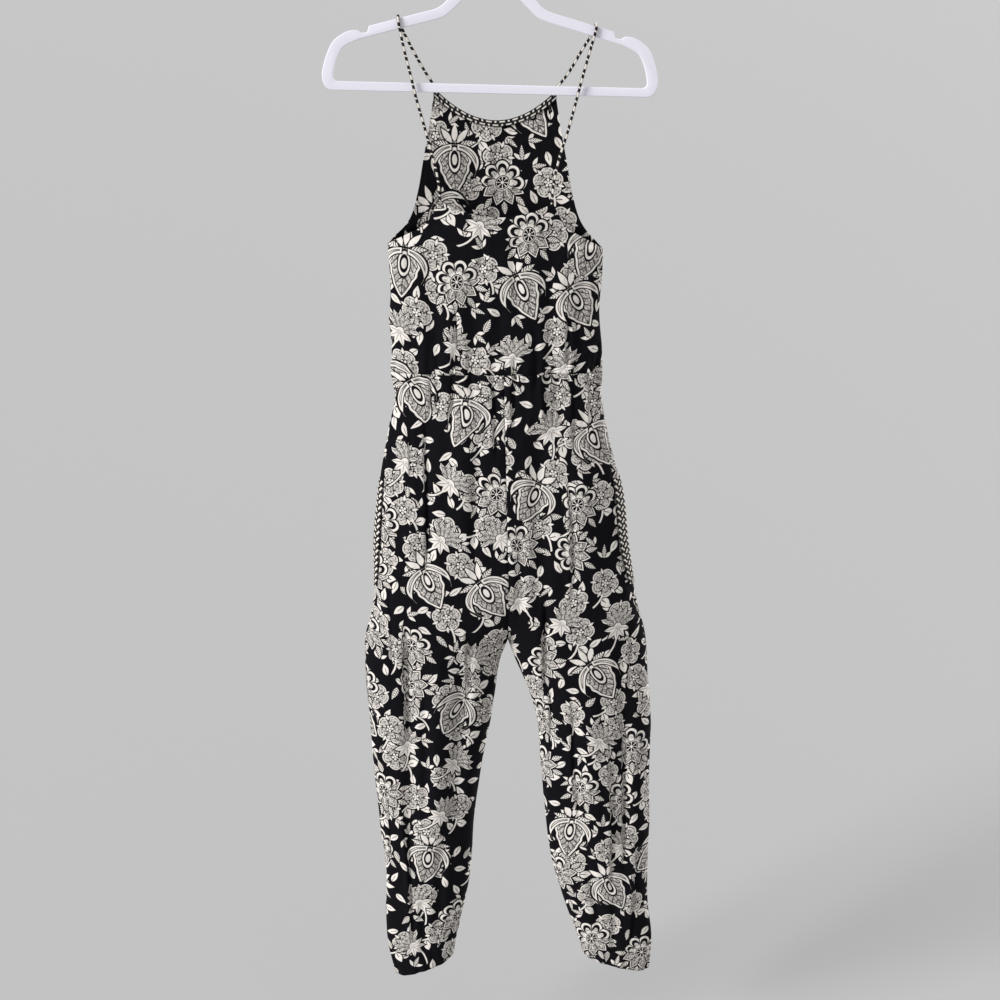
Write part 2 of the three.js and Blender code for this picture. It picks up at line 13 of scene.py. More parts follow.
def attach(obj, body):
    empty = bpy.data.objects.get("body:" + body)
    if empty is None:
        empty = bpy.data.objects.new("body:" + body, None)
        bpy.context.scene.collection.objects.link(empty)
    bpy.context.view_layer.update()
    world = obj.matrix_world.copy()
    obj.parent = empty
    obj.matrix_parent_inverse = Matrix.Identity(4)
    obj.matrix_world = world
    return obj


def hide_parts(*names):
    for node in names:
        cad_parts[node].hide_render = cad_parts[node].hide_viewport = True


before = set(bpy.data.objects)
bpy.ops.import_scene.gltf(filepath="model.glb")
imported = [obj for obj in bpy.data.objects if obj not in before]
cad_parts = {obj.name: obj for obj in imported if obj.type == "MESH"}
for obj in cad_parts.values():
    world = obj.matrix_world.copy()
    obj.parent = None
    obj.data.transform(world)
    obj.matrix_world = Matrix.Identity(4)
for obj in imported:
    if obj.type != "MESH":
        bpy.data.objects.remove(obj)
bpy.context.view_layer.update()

Array = np.ndarray
LOG = logging.getLogger("jumpsuit")
MM = 0.001
TO_MM = 1000
TURN = 2 * math.pi
CORD_GIRTH = 6.0
STEM_HALF = 1.05
MERGE_DISTANCE = 0.00001
Colour = tuple[float, float, float, float]
Point = tuple[float, float, float]
Grid = tuple[Array, Array, Array]


class Side(Enum):
    """The two sides of the garment: the back faces the viewer."""

    FRONT = "front"
    BACK = "back"

    @property
    def away(self) -> float:
        """+1 for the side away from the viewer, -1 for the side towards them."""
        return 1.0 if self is Side.FRONT else -1.0


class Leg(Enum):
    """The two legs, named as the viewer sees them."""

    LEFT = "left"
    RIGHT = "right"


# Shader tools


class Shader:
    """A material's node tree, filled through one method."""

    def __init__(self, name: str) -> None:
        """Start an empty material.

        Args:
            name: The material's name.
        """
        self.material = bpy.data.materials.new(name)
        self.material.use_nodes = True
        self.tree = self.material.node_tree
        self.tree.nodes.clear()

    def node(self, kind: str, settings: dict[str, Any] | None = None,
             inputs: dict[Any, Any] | None = None) -> Any:
        """Add any node.

        Args:
            kind: The node's type.
            settings: Properties that are set first.
            inputs: Socket names or numbers with their values, or the sockets that feed them.

        Returns:
            The new node.
        """
        made = self.tree.nodes.new(kind)
        for key, value in (settings or {}).items():
            setattr(made, key, value)
        for key, value in (inputs or {}).items():
            socket = made.inputs[key]
            if isinstance(value, Number):
                self.tree.links.new(value.socket, socket)
            elif isinstance(value, bpy.types.NodeSocket):
                self.tree.links.new(value, socket)
            else:
                socket.default_value = value
        return made

    def number(self, socket: Any) -> "Number":
        """Wrap a socket so that expressions can use it."""
        return Number(self, socket)

    def plane(self, x: Any, y: Any) -> Any:
        """Join two numbers into a place on a plane."""
        return self.node("ShaderNodeCombineXYZ", {}, {0: x, 1: y}).outputs[0]

    def cloth_place(self) -> tuple["Number", "Number"]:
        """Read the piece's own UV map, in millimetres across and up."""
        uv = self.node("ShaderNodeUVMap", {"uv_map": "cloth"})
        split = self.node("ShaderNodeSeparateXYZ", {}, {0: uv.outputs[0]})
        return self.number(split.outputs[0]) * TO_MM, self.number(split.outputs[1]) * TO_MM

    def noise(self, place: Any, scale: float, detail: float, flat: bool = True) -> Any:
        """Add a noise field.

        Args:
            place: Where it is read.
            scale: Its scale.
            detail: How many finer layers it has.
            flat: Whether it lies on a plane.

        Returns:
            The field's socket.
        """
        settings = {"noise_dimensions": "2D"} if flat else {}
        made = self.node("ShaderNodeTexNoise", settings, {"Vector": place, "Scale": scale, "Detail": detail})
        return made.outputs[0]

    def bump(self, height: Any, strength: float, distance: float) -> Any:
        """Add a bump.

        Args:
            height: The field that raises the surface.
            strength: How much of it counts.
            distance: Its full height, in metres.

        Returns:
            The normal's socket.
        """
        made = self.node("ShaderNodeBump", {}, {"Strength": strength, "Distance": distance, "Height": height})
        return made.outputs[0]

    def mix(self, factor: Any, low: Any, high: Any) -> Any:
        """Blend two colours.

        Args:
            factor: 0 gives low and 1 gives high.
            low: A colour or a socket.
            high: A colour or a socket.

        Returns:
            The blended colour's socket.
        """
        made = self.node("ShaderNodeMix", {"data_type": "RGBA"}, {0: factor, 6: low, 7: high})
        return made.outputs[2]

    def finish(self, inputs: dict[str, Any]) -> bpy.types.Material:
        """Close the tree with a Principled surface.

        Args:
            inputs: The surface's sockets.

        Returns:
            The finished material.
        """
        surface = self.node("ShaderNodeBsdfPrincipled", {}, inputs)
        self.node("ShaderNodeOutputMaterial", {}, {"Surface": surface.outputs[0]})
        return self.material


class Number:
    """A number in a shader: an expression on it adds Math nodes."""

    def __init__(self, shader: Shader, socket: Any) -> None:
        """Wrap one socket."""
        self.shader = shader
        self.socket = socket

    def math(self, operation: str, *others: Any, clamp: bool = False) -> "Number":
        """Add one Math node that starts from this number."""
        return Number.apply(self.shader, operation, (self, *others), clamp)

    @staticmethod
    def apply(shader: Shader, operation: str, values: Sequence[Any], clamp: bool = False) -> "Number":
        """Add one Math node.

        Args:
            shader: The tree.
            operation: The Math node's operation.
            values: Its inputs in order.
            clamp: Whether the result is held between 0 and 1.

        Returns:
            The result.
        """
        settings = {"operation": operation, "use_clamp": clamp}
        made = shader.node("ShaderNodeMath", settings, dict(enumerate(values)))
        return Number(shader, made.outputs[0])

    def __add__(self, other: Any) -> "Number":
        """Sum."""
        return self.math("ADD", other)

    __radd__ = __add__

    def __mul__(self, other: Any) -> "Number":
        """Product."""
        return self.math("MULTIPLY", other)

    __rmul__ = __mul__

    def __sub__(self, other: Any) -> "Number":
        """Difference."""
        return self.math("SUBTRACT", other)

    def __rsub__(self, other: Any) -> "Number":
        """Difference from a plain number."""
        return Number.apply(self.shader, "SUBTRACT", (other, self))

    def __truediv__(self, other: Any) -> "Number":
        """Quotient."""
        return self.math("DIVIDE", other)

    def __abs__(self) -> "Number":
        """Distance from zero."""
        return self.math("ABSOLUTE")

    def held(self) -> "Number":
        """The number held between 0 and 1."""
        return self.math("ADD", 0, clamp=True)

    def sine(self) -> "Number":
        """Sine of an angle in radians."""
        return self.math("SINE")

    def cosine(self) -> "Number":
        """Cosine of an angle in radians."""
        return self.math("COSINE")

    def fraction(self) -> "Number":
        """What is left after the whole part."""
        return self.math("FRACT")

    def whole(self) -> "Number":
        """The whole part."""
        return self.math("FLOOR")

    def least(self, other: Any) -> "Number":
        """The smaller of two."""
        return self.math("MINIMUM", other)

    def most(self, other: Any) -> "Number":
        """The larger of two."""
        return self.math("MAXIMUM", other)

    def over(self, limit: Any) -> "Number":
        """1 above a limit, else 0."""
        return self.math("GREATER_THAN", limit)

    def under(self, limit: Any) -> "Number":
        """1 below a limit, else 0."""
        return self.math("LESS_THAN", limit)

    def within(self, blur: float = 0.35) -> "Number":
        """1 where a distance is above zero, with a soft edge of that many millimetres."""
        return self.math("MULTIPLY_ADD", 1 / blur, 0.5, clamp=True)

    def band(self, low: float, high: float) -> "Number":
        """1 where a distance lies between two limits."""
        return (self - low).within() * (high - self).within()


def length(x: Number, y: Number) -> Number:
    """Distance from the origin."""
    return (x * x + y * y).math("SQRT")


# Finishes


@dataclass(frozen=True)
class Motif:
    """One printed figure: its ink, and the ground that it keeps free of others."""

    ink: Number
    ground: Number


@dataclass(frozen=True)
class Polar:
    """A place round a figure's centre, in millimetres and radians."""

    x: Number
    y: Number
    radius: Number
    angle: Number

    @staticmethod
    def of(x: Number, y: Number) -> "Polar":
        """Work out radius and angle."""
        return Polar(x, y, length(x, y), y.math("ARCTAN2", x))

    def scaled(self, size: float) -> "Polar":
        """The same place for a figure that is drawn so many times larger."""
        return Polar.of(self.x * (1 / size), self.y * (1 / size))

    def moved(self, x: float, y: float) -> "Polar":
        """The same place seen from another centre."""
        return Polar.of(self.x - x, self.y - y)

    def stem(self, bend: float, x: float, y: float, top: float, foot: float) -> Number:
        """Distance inside a thin stem that bends round a far centre.

        Args:
            bend: The bend's radius.
            x: The bend's centre, across.
            y: The bend's centre, up.
            top: Where the stem starts, up from the figure's centre.
            foot: Where it ends.

        Returns:
            The distance.
        """
        run = self.moved(x, y)
        return (STEM_HALF - abs(run.radius - bend)).least(top - self.y).least(self.y - foot)

    def folded(self, count: int, shift: float = 0.0) -> tuple[Number, Number]:
        """Fold the plane into one of several equal wedges.

        Args:
            count: How many wedges.
            shift: Where the first one starts, as a share of a wedge.

        Returns:
            Distance along the wedge's middle line, and to the side of it.
        """
        share = (self.angle * (count / TURN) + (shift + 0.5)).fraction() - 0.5
        aside = share * (TURN / count)
        return self.radius * aside.cosine(), self.radius * aside.sine()


# Each tier of the lotus: reach, width of a petal, shift of the first one, and spread to either side
LOTUS_TIERS = ((26.0, 0.37, 0.5, 1.22), (19.5, 0.42, 0.0, 1.3), (12.5, 0.6, 0.5, 1.4))


@dataclass(frozen=True)
class FloralPrint:
    """Off-white flowers, pods, rosettes and leaves, tossed close together on near-black cloth."""

    ground: Colour = (0.0045, 0.0043, 0.006, 1)
    ink: Colour = (0.77, 0.725, 0.675, 1)
    large_cell: float = 80.0
    medium_cell: float = 53.0
    small_cell: float = 24.0
    roughness: float = 0.82

    def leaf(self, along: Number, aside: Number, start: float, size: float, half: float) -> Number:
        """Distance inside a pointed leaf that lies along a line.

        Args:
            along: Place along the leaf's line.
            aside: Place to the side of it.
            start: Where the leaf starts.
            size: Its length.
            half: About half its width.

        Returns:
            The distance, in millimetres.
        """
        share = (along - start) * (1 / size)
        outline = share * (1 - share) * (1.35 - share * 0.7).most(0.3) * 4
        return outline * half - abs(aside)

    def hatched(self, along: Number, aside: Number) -> Number:
        """Chevron stripes across a leaf, with a plain rib.

        Args:
            along: Place along the leaf.
            aside: Place to the side of its rib.

        Returns:
            1 on a stripe, else 0.
        """
        stripes = ((along - abs(aside) * 1.1) * 2.0).sine()
        return (stripes * 1.4 + 0.75).math("ADD", (0.5 - abs(aside)).within(), clamp=True)

    def speckle(self, x: Number, y: Number, shader: Shader, scale: float) -> Number:
        """Fine uneven greys inside a figure.

        Args:
            x: Across, in millimetres.
            y: Up.
            shader: The tree.
            scale: How fine they are.

        Returns:
            A grey from 0 to 1.
        """
        grain = shader.noise(shader.plane(x * scale, y * scale), 1.0, 1.0)
        return ((shader.number(grain) - 0.5) * 3.4 + 0.5).held()

    def flower(self, at: Polar, grain: Number) -> Motif:
        """A round flower: looped petals on one half, lined pointed petals and a spray on the other.

        Args:
            at: The place seen from the figure's centre.
            grain: The greys inside it.

        Returns:
            The figure.
        """
        px, py = at.folded(8)
        petal = 8.8 - length((px - 17.6) * 0.86, py)
        seam = px * math.sin(math.pi / 8) - abs(py) * math.cos(math.pi / 8)
        loop = petal.band(0, 3.1)
        inner = 3.3 - length((px - 14.6) * 0.72, py)
        hole = (petal - 3.1).within() * (1 - inner.within())
        looped = (loop + inner.within() * (grain * 0.5 + 0.45)) * (1 - hole * 0.5)
        looped = looped.most((13.0 - px).within() * petal.within() * 0.85)
        looped = looped * (1 - (0.8 - seam).within() * 0.9)

        qx, qy = at.folded(9, 0.5)
        point = self.leaf(qx, qy, 3.0, 27.5, 8.4)
        tint = grain * 0.6 + 0.16
        rib = (0.55 - abs(qy)).within() * (22.0 - qx).within()
        lined = point.band(0, 1.7) + (point - 2.7).within() * tint
        split = qx * math.sin(math.pi / 9) - abs(qy) * math.cos(math.pi / 9)
        pointed = (lined + rib * 0.4).held() * (1 - (0.7 - split).within() * 0.9)

        half = (at.y * 0.82 - at.x * 0.57) + (at.angle * 5.0).sine() * 1.1
        upper = (half + 4.0).within(0.5)
        lx, ly = at.folded(9)
        sprig = self.leaf(lx, ly, 24.0, 17.5, 3.5)
        sprigs = sprig.within() * self.hatched(lx, ly) * (1 - upper)

        oval = length(at.x * 1.2, at.y)
        wedge = (abs((at.angle * 4.0).sine()) - 0.36).within(0.25)
        spokes = 1 - wedge * oval.band(2.0, 8.2)
        ring = (oval - 8.9).band(0, 1.3)
        middle = (11.2 - oval).within()
        figure = looped * upper + pointed * (1 - upper)
        ink = figure * (1 - middle) + middle * spokes * (1 - ring)
        shape = (petal.most(10.0 - at.radius) * upper) + point.most(10.0 - at.radius) * (1 - upper)
        ink = ink * (shape.within()) + sprigs * (1 - (shape + 0.8).within())
        return Motif(ink, (shape + 1.8).within().most((sprig + 1.4).within() * (1 - upper)))

    def rosette(self, at: Polar, grain: Number) -> Motif:
        """A round five-lobed flower head with dark ticks, on a bent stem with two leaves.

        Args:
            at: The place seen from the figure's centre.
            grain: The greys inside it.

        Returns:
            The figure.
        """
        at = at.scaled(1.18).moved(0.0, 4.0)
        px, py = at.folded(5)
        lobe = 8.1 - length(px - 8.9, py)
        disc = lobe.most(8.0 - at.radius)
        seam = px * math.sin(math.pi / 5) - abs(py) * math.cos(math.pi / 5)
        shade = grain * 0.7 + 0.14
        rim = disc.band(0, 1.15)
        inner_rim = (lobe - 3.2).band(0, 0.9) * (px - 7.5).within()
        ink = shade.most(rim).most(inner_rim * 0.85)
        ink = ink * (1 - (0.55 - seam).within() * (px - 5.4).within())
        qx, qy = at.folded(5, 0.5)
        tick = (2.5 - abs(qy) * 1.3).least((qx - 9.2) * 0.9)
        ink = ink * disc.within() * (1 - tick.within())
        tip = self.leaf(qx, qy, 10.6, 7.5, 1.5)
        ring = (5.2 - at.radius).within()
        dots = (1.45 - length(px - 3.2, py)).within().most((1.35 - at.radius).within())
        ink = (ink * (1 - ring) + dots * ring).most(tip.within())
        stem = at.stem(25.0, -25.0, -13.0, -14.0, -33.0)
        base = at.moved(-0.3, -19.0)
        along, aside = base.x * 0.9 - base.y * 0.44, base.y * 0.9 + base.x * 0.44
        leaf = self.leaf(along, aside, 0.6, 15.0, 4.6)
        veined = leaf.within() * (1 - (0.5 - abs(aside)).within() * (8.0 - along).within())
        ink = ink.most(stem.within()).most(veined)
        ground = (disc + 1.7).within().most((stem + 1.2).within()).most((leaf + 1.3).within())
        return Motif(ink, ground.most((tip + 1.2).within()))

    def lotus(self, at: Polar, grain: Number) -> Motif:
        """A tall open head of toothed petals in three tiers over long sepals, on a bent stem.

        Args:
            at: The place seen from the figure's centre.
            grain: The greys inside it.

        Returns:
            The figure.
        """
        at = at.scaled(1.1)
        upright = at.x.math("ARCTAN2", at.y)
        ink: Any = 0.0
        body: Any = None
        for reach, step, shift, spread in LOTUS_TIERS:
            fold = abs((upright * (1 / step) + shift).fraction() - 0.5) * 2
            tooth = 1 - fold
            toothed = reach - 6.5 * fold * (2 - fold) * 0.8 - at.radius
            edge = toothed.least((spread - abs(upright)) * at.radius)
            lines = (0.14 - tooth * 0.5).within(0.1)
            fill = ((fold * 8.0).cosine() * 0.24 + grain * 0.45 + 0.34)
            tier = edge.band(0, 1.6).most((edge - 2.3).within() * fill) * (1 - lines * 0.75)
            seen = (edge + 0.9).within()
            ink = tier if body is None else ink * (1 - seen) + tier
            body = edge if body is None else body.most(edge)
        lx, ly = Polar.of(at.y * -1, at.x).folded(9)
        sepal = self.leaf(lx, ly, 1.0, 16.5, 3.3).least(1.5 - at.y)
        cup = 5.2 - length(at.x, at.y - 0.5)
        white = sepal.within().most(cup.within())
        ribs = (0.45 - abs(ly)).within() * sepal.within() * 0.6
        over = (sepal.most(cup) + 0.9).within()
        ink = ink * (1 - over) + white * (1 - ribs)
        stem = at.stem(30.0, -30.0, -12.0, -12.0, -34.0)
        ink = ink.most(stem.within())
        shape = body.most(sepal).most(cup)
        return Motif(ink, (shape + 1.7).within().most((stem + 1.2).within()))

    def pod(self, at: Polar, grain: Number) -> Motif:
        """A hanging bud with a scalloped edge and a long tip, an almond in it, and leaves that spray above.

        Args:
            at: The place seen from the figure's centre.
            grain: The greys inside it.

        Returns:
            The figure.
        """
        at = at.scaled(1.26).moved(0.0, 1.5)
        down = ((17.0 - at.y) * (1 / 50)).held()
        width = (down.math("POWER", 0.6) * math.pi).sine().most(0).math("POWER", 0.75) * 16.5
        scallop = (at.y * (TURN / 10.5)).cosine() * 1.1
        shape = (width + scallop * (1 - down) - abs(at.x)) * 0.86
        shape = shape.least(16.5 - at.y).least(at.y + 33.0)
        outline = shape.band(0, 1.9)
        veins = ((at.y + abs(at.x) * 1.2) * (TURN / 8.5)).sine()
        cells = (veins.band(-1.4, -0.72) * 0.85).most((0.5 - abs(at.x)).within() * 0.8)
        fill = (shape - 2.7).within() * (grain * 0.6 + 0.22) * (1 - cells)
        bead = (shape - 2.7).band(0, 1.2) * ((at.y * 1.5).sine() + 0.3).within(0.4) * (at.y + 8.0).within()
        almond = (1 - length(at.x * (1 / 6.0), (at.y - 1.5) * (1 / 12.5))) * 6.0
        kernel = almond.band(0, 1.5).most((almond - 3.4).within())
        ink = outline.most(fill).most(bead * 0.9) * (1 - (almond + 1.2).within()) + kernel
        hug = length(abs(at.x) - 2.0, at.y + 6.0)
        thick = (1 - ((at.y - 7.0) * (1 / 17.0)).math("POWER", 2.0)).most(0) * 3.4
        side = (thick - abs(hug - 20.5)) * 0.8
        side = side.least(16.0 + at.y).least((abs(at.x) - 3.2) * 0.9)
        sides = side.within() * (1 - (side - 1.5).band(0, 0.8) * 0.9)
        over = (side + 1.0).within()
        ink = ink * (1 - over) + sides
        base = at.moved(0.0, 15.0)
        lx, ly = Polar.of(base.y, base.x).folded(9)
        leaf = self.leaf(lx, ly, 4.5, 18.5, 3.1).least(base.y + 1.0)
        chevrons = (abs(base.x) * 0.8 - base.y).within(2.0)
        spray = leaf.within() * (1 - chevrons + chevrons * self.hatched(lx, ly))
        free = 1 - (shape.most(side) + 0.9).within()
        ink = ink + spray * free
        ground = (shape.most(side) + 1.8).within().most((leaf + 1.3).within())
        return Motif(ink.held(), ground)

    def leaflet(self, at: Polar, kind: Number) -> Motif:
        """A small loose leaf, plain or with chevrons, or a spray of three narrow ones.

        Args:
            at: The place seen from the leaf's centre.
            kind: The random number that chooses among them.

        Returns:
            The figure.
        """
        spray = kind.over(0.7)
        single = self.leaf(at.x + 9.0, at.y, 0.0, 19.0, 4.2 - spray * 1.4)
        rib = (0.5 - abs(at.y)).within() * (3.0 - at.x).within()
        striped = kind.over(0.42)
        filled = (1 - striped) * (1 - rib * 0.8) + striped * self.hatched(at.x + 9.0, at.y)
        lone = single.within() * filled
        along = (at.x + 9.0) * 0.64 + abs(at.y) * 0.77
        aside = abs(at.y) * 0.64 - (at.x + 9.0) * 0.77
        twin = self.leaf(along, aside, 1.5, 12.5, 2.3)
        ink = lone + twin.within() * spray * (1 - (single + 0.9).within())
        return Motif(ink, ink)

    def cells(self, shader: Shader, u: Number, v: Number, size: float, turn: float, loose: float,
              swing: float) -> tuple[Polar, Number]:
        """Scatter places over the cloth, each with its own turn.

        Args:
            shader: The tree.
            u: Across the cloth, in millimetres.
            v: Up the cloth, in millimetres.
            size: Spacing.
            turn: Turn of the whole scatter, in radians.
            loose: How uneven it is, 0 to 1.
            swing: The widest difference between two figures' turns, in radians.

        Returns:
            The place seen from the nearest centre, and that centre's random number.
        """
        cos, sin = math.cos(turn), math.sin(turn)
        a = (u * cos + v * sin) * (1 / size)
        b = (v * cos - u * sin) * (1 / size)
        cell = shader.node("ShaderNodeTexVoronoi", {"voronoi_dimensions": "2D"},
                           {"Vector": shader.plane(a, b), "Scale": 1.0, "Randomness": loose})
        centre = shader.node("ShaderNodeSeparateXYZ", {}, {0: cell.outputs["Position"]})
        chance = shader.node("ShaderNodeSeparateColor", {}, {0: cell.outputs["Color"]})
        dx = (a - shader.number(centre.outputs[0])) * size
        dy = (b - shader.number(centre.outputs[1])) * size
        spin = (shader.number(chance.outputs[1]) - 0.5) * swing - turn
        x = dx * spin.cosine() + dy * spin.sine()
        y = dy * spin.cosine() - dx * spin.sine()
        return Polar.of(x, y), shader.number(chance.outputs[0])

    def build(self) -> bpy.types.Material:
        """Make the cloth's material on its own UV map, in metres.

        Returns:
            The material.
        """
        shader = Shader("printed viscose")
        u, v = shader.cloth_place()
        grain = self.speckle(u, v, shader, 0.42)

        small, kind = self.cells(shader, u, v, self.small_cell, 0.9, 0.6, TURN)
        ink = self.leaflet(small, kind).ink * abs(kind - 0.62).over(0.08)

        medium, kind = self.cells(shader, u + 31, v - 17, self.medium_cell, 0.42, 0.4, 2.2)
        rosette = self.rosette(medium, grain)
        present = kind.under(0.66)
        ink = ink * (1 - rosette.ground * present) + rosette.ink * present

        large, kind = self.cells(shader, u, v, self.large_cell, -0.22, 0.36, 2.3)
        flower, pod, lotus = self.flower(large, grain), self.pod(large, grain), self.lotus(large, grain)
        is_flower, is_lotus = kind.under(0.36), kind.over(0.66)
        is_pod = 1 - is_flower - is_lotus
        ground = flower.ground * is_flower + pod.ground * is_pod + lotus.ground * is_lotus
        top = flower.ink * is_flower + pod.ink * is_pod + lotus.ink * is_lotus
        ink = (ink * (1 - ground) + top).held()

        colour = shader.mix(ink, self.ground, self.ink)
        normal = shader.bump(shader.noise(shader.plane(u, v), 0.075, 3.0), 0.5, 0.0035)
        return shader.finish({"Base Color": colour, "Roughness": self.roughness, "Normal": normal,
                              "Sheen Weight": 0.01, "Sheen Roughness": 0.5, "Specular IOR Level": 0.06})


class Weave(Enum):
    """How a braid's light and dark threads are laid."""

    ROPE = "rope"
    ROWS = "rows"
    BASKET = "basket"


@dataclass(frozen=True)
class Braid:
    """Black braid with off-white threads, read from a UV map in millimetres."""

    weave: Weave
    dark: Colour = (0.0105, 0.0095, 0.011, 1)
    light: Colour = (0.76, 0.71, 0.64, 1)
    row: float = 3.0
    pitch: float = 17.0
    twist: float = 0.0
    dash: float = 3.4
    bead: float = 1.25
    thread: float = 0.9

    def dashes(self, u: Number, v: Number) -> Number:
        """Rows of long dashes and small beads, each row half a pitch further on.

        Args:
            u: Across the braid, in millimetres.
            v: Along it.

        Returns:
            Distance inside the light threads.
        """
        rows = u * (1 / self.row)
        aside = abs(rows.fraction() - 0.5) * self.row
        share = ((v + u * self.twist) * (1 / self.pitch) + rows.whole() * 0.5).fraction()
        dash = (self.dash - abs(share - 0.3) * self.pitch).least(self.thread - aside)
        bead = (self.bead - abs(share - 0.8) * self.pitch).least(self.thread + 0.3 - aside)
        return dash.most(bead)

    def basket(self, u: Number, v: Number) -> Number:
        """Slanting dashes whose columns lean by turns to either side.

        Args:
            u: Across the braid, in millimetres.
            v: Along it.

        Returns:
            Distance inside the light threads.
        """
        columns = u * (1 / self.row)
        x = (columns.fraction() - 0.5) * self.row
        lean = (columns.whole() * 0.5).fraction() * 4 - 1
        y = ((v * (1 / self.pitch) + columns.whole() * 0.5).fraction() - 0.5) * self.pitch
        along = y * 0.78 + x * lean * 0.62
        aside = x * 0.78 - y * lean * 0.62
        return (3.0 - abs(along)).least(1.3 - abs(aside))

    def build(self) -> bpy.types.Material:
        """Make the braid's material.

        Returns:
            The material.
        """
        shader = Shader(f"braid {self.weave.value}")
        u, v = shader.cloth_place()
        light = (self.basket(u, v) if self.weave is Weave.BASKET else self.dashes(u, v)).within()
        colour = shader.mix(light, self.dark, self.light)
        return shader.finish({"Base Color": colour, "Roughness": 0.78, "Normal": shader.bump(light, 0.6, 0.0004),
                              "Sheen Weight": 0.03, "Specular IOR Level": 0.15})


@dataclass(frozen=True)
class Plain:
    """A plain finish with a slight unevenness in its gloss."""

    name: str
    colour: Colour
    roughness: float
    metallic: float = 0.0
    grain: float = 0.0

    def build(self) -> bpy.types.Material:
        """Make the material on Object coordinates.

        Returns:
            The material.
        """
        shader = Shader(self.name)
        place = shader.node("ShaderNodeTexCoord").outputs["Object"]
        cloud = shader.number(shader.noise(place, 60.0, 2.0, flat=False))
        rough = cloud * self.grain + (self.roughness - self.grain / 2)
        return shader.finish({"Base Color": self.colour, "Roughness": rough, "Metallic": self.metallic})


# Form of the garment


@dataclass(frozen=True)
class Table:
    """Measurements by height, each column read with smooth slopes through its rows."""

    columns: tuple[str, ...]
    rows: tuple[tuple[float, ...], ...]

    def read(self, column: str, z: Array) -> Array:
        """Read one column at any heights.

        Args:
            column: The column's name.
            z: Heights in millimetres.

        Returns:
            The values.
        """
        heights = np.array([row[0] for row in self.rows])
        values = np.array([row[self.columns.index(column)] for row in self.rows])
        last = len(heights) - 1
        z = np.clip(z, heights[last], heights[0])
        i = np.clip(np.searchsorted(-heights, -z, side="right") - 1, 0, last - 1)
        before = np.maximum(np.arange(last + 1) - 1, 0)
        after = np.minimum(np.arange(last + 1) + 1, last)
        slopes = (values[after] - values[before]) / (heights[after] - heights[before])
        span = heights[i + 1] - heights[i]
        t = (z - heights[i]) / span
        straight = values[i] + (values[i + 1] - values[i]) * t * t * (3 - 2 * t)
        return straight + t * (1 - t) * span * ((1 - t) * slopes[i] - t * slopes[i + 1])


BODICE = Table(("z", "left", "right", "front", "back"), (
    (-415, -138, 138, 23, 23),
    (-450, -136.5, 137, 25, 26),
    (-485, -137, 134.5, 26, 27),
    (-510, -139, 134.5, 27, 28),
    (-545, -136, 138, 28, 29),
    (-578, -138, 139, 28, 29),
))
FRONT_ARMHOLE = Table(("z", "half", "edge", "bulge"), (
    (-219, 77, 9, 2),
    (-260, 83, 9.5, 5),
    (-305, 91, 9.5, 9),
    (-350, 99, 8.5, 13),
    (-380, 108, 6, 17),
    (-400, 122, 3, 20),
    (-415, 138, 0, 23),
))
BACK_ARMHOLE = Table(("z", "half", "edge", "bulge"), (
    (-357, 72, 15, 5),
    (-374, 81, 13, 9),
    (-390, 92, 10, 14),
    (-404, 118, 5, 19),
    (-415, 138, 0, 23),
))
TROUSERS = Table(("z", "left", "right", "front", "back", "left_turn", "right_turn"), (
    (-578, -138, 139, 28, 29, 0, 0),
    (-612, -133, 138, 27, 28, 0, 2),
    (-650, -141, 144, 29, 31, 4, 7),
    (-695, -150, 155, 33, 34, 11, 16),
    (-750, -158, 168, 36, 37, 15, 21),
    (-810, -164, 175, 38, 39, 16, 22),
    (-870, -165, 184, 39, 40, 14, 21),
    (-910, -171, 192, 38, 40, 10, 15),
    (-950, -181, 203, 37, 39, 7, 9),
    (-1010, -181, 208, 35, 37, 4, 4),
    (-1070, -178, 213, 34, 35, 2, 2),
    (-1150, -173, 213, 32, 33, 0, 0),
    (-1226, -168, 215, 30, 31, 0, 0),
    (-1304, -160, 214, 27, 28, 0, 0),
    (-1369, -162, 216, 23, 24, 0, 0),
    (-1428, -161, 222, 18, 19, 0, 0),
    (-1480, -152, 220, 12, 13, 0, 0),
))
INSEAM = Table(("z", "left", "right"), (
    (-950, 14, 14),
    (-984, 3, 25),
    (-1032, -4, 44),
    (-1077, -11, 55),
    (-1152, -25, 61),
    (-1229, -35, 68),
    (-1310, -40, 79),
    (-1392, -51, 97),
    (-1480, -66, 122),
))
LEAN = Table(("z", "slope"), ((-200, 0.028), (-415, 0.03), (-578, 0.01), (-800, 0), (-1500, 0)))


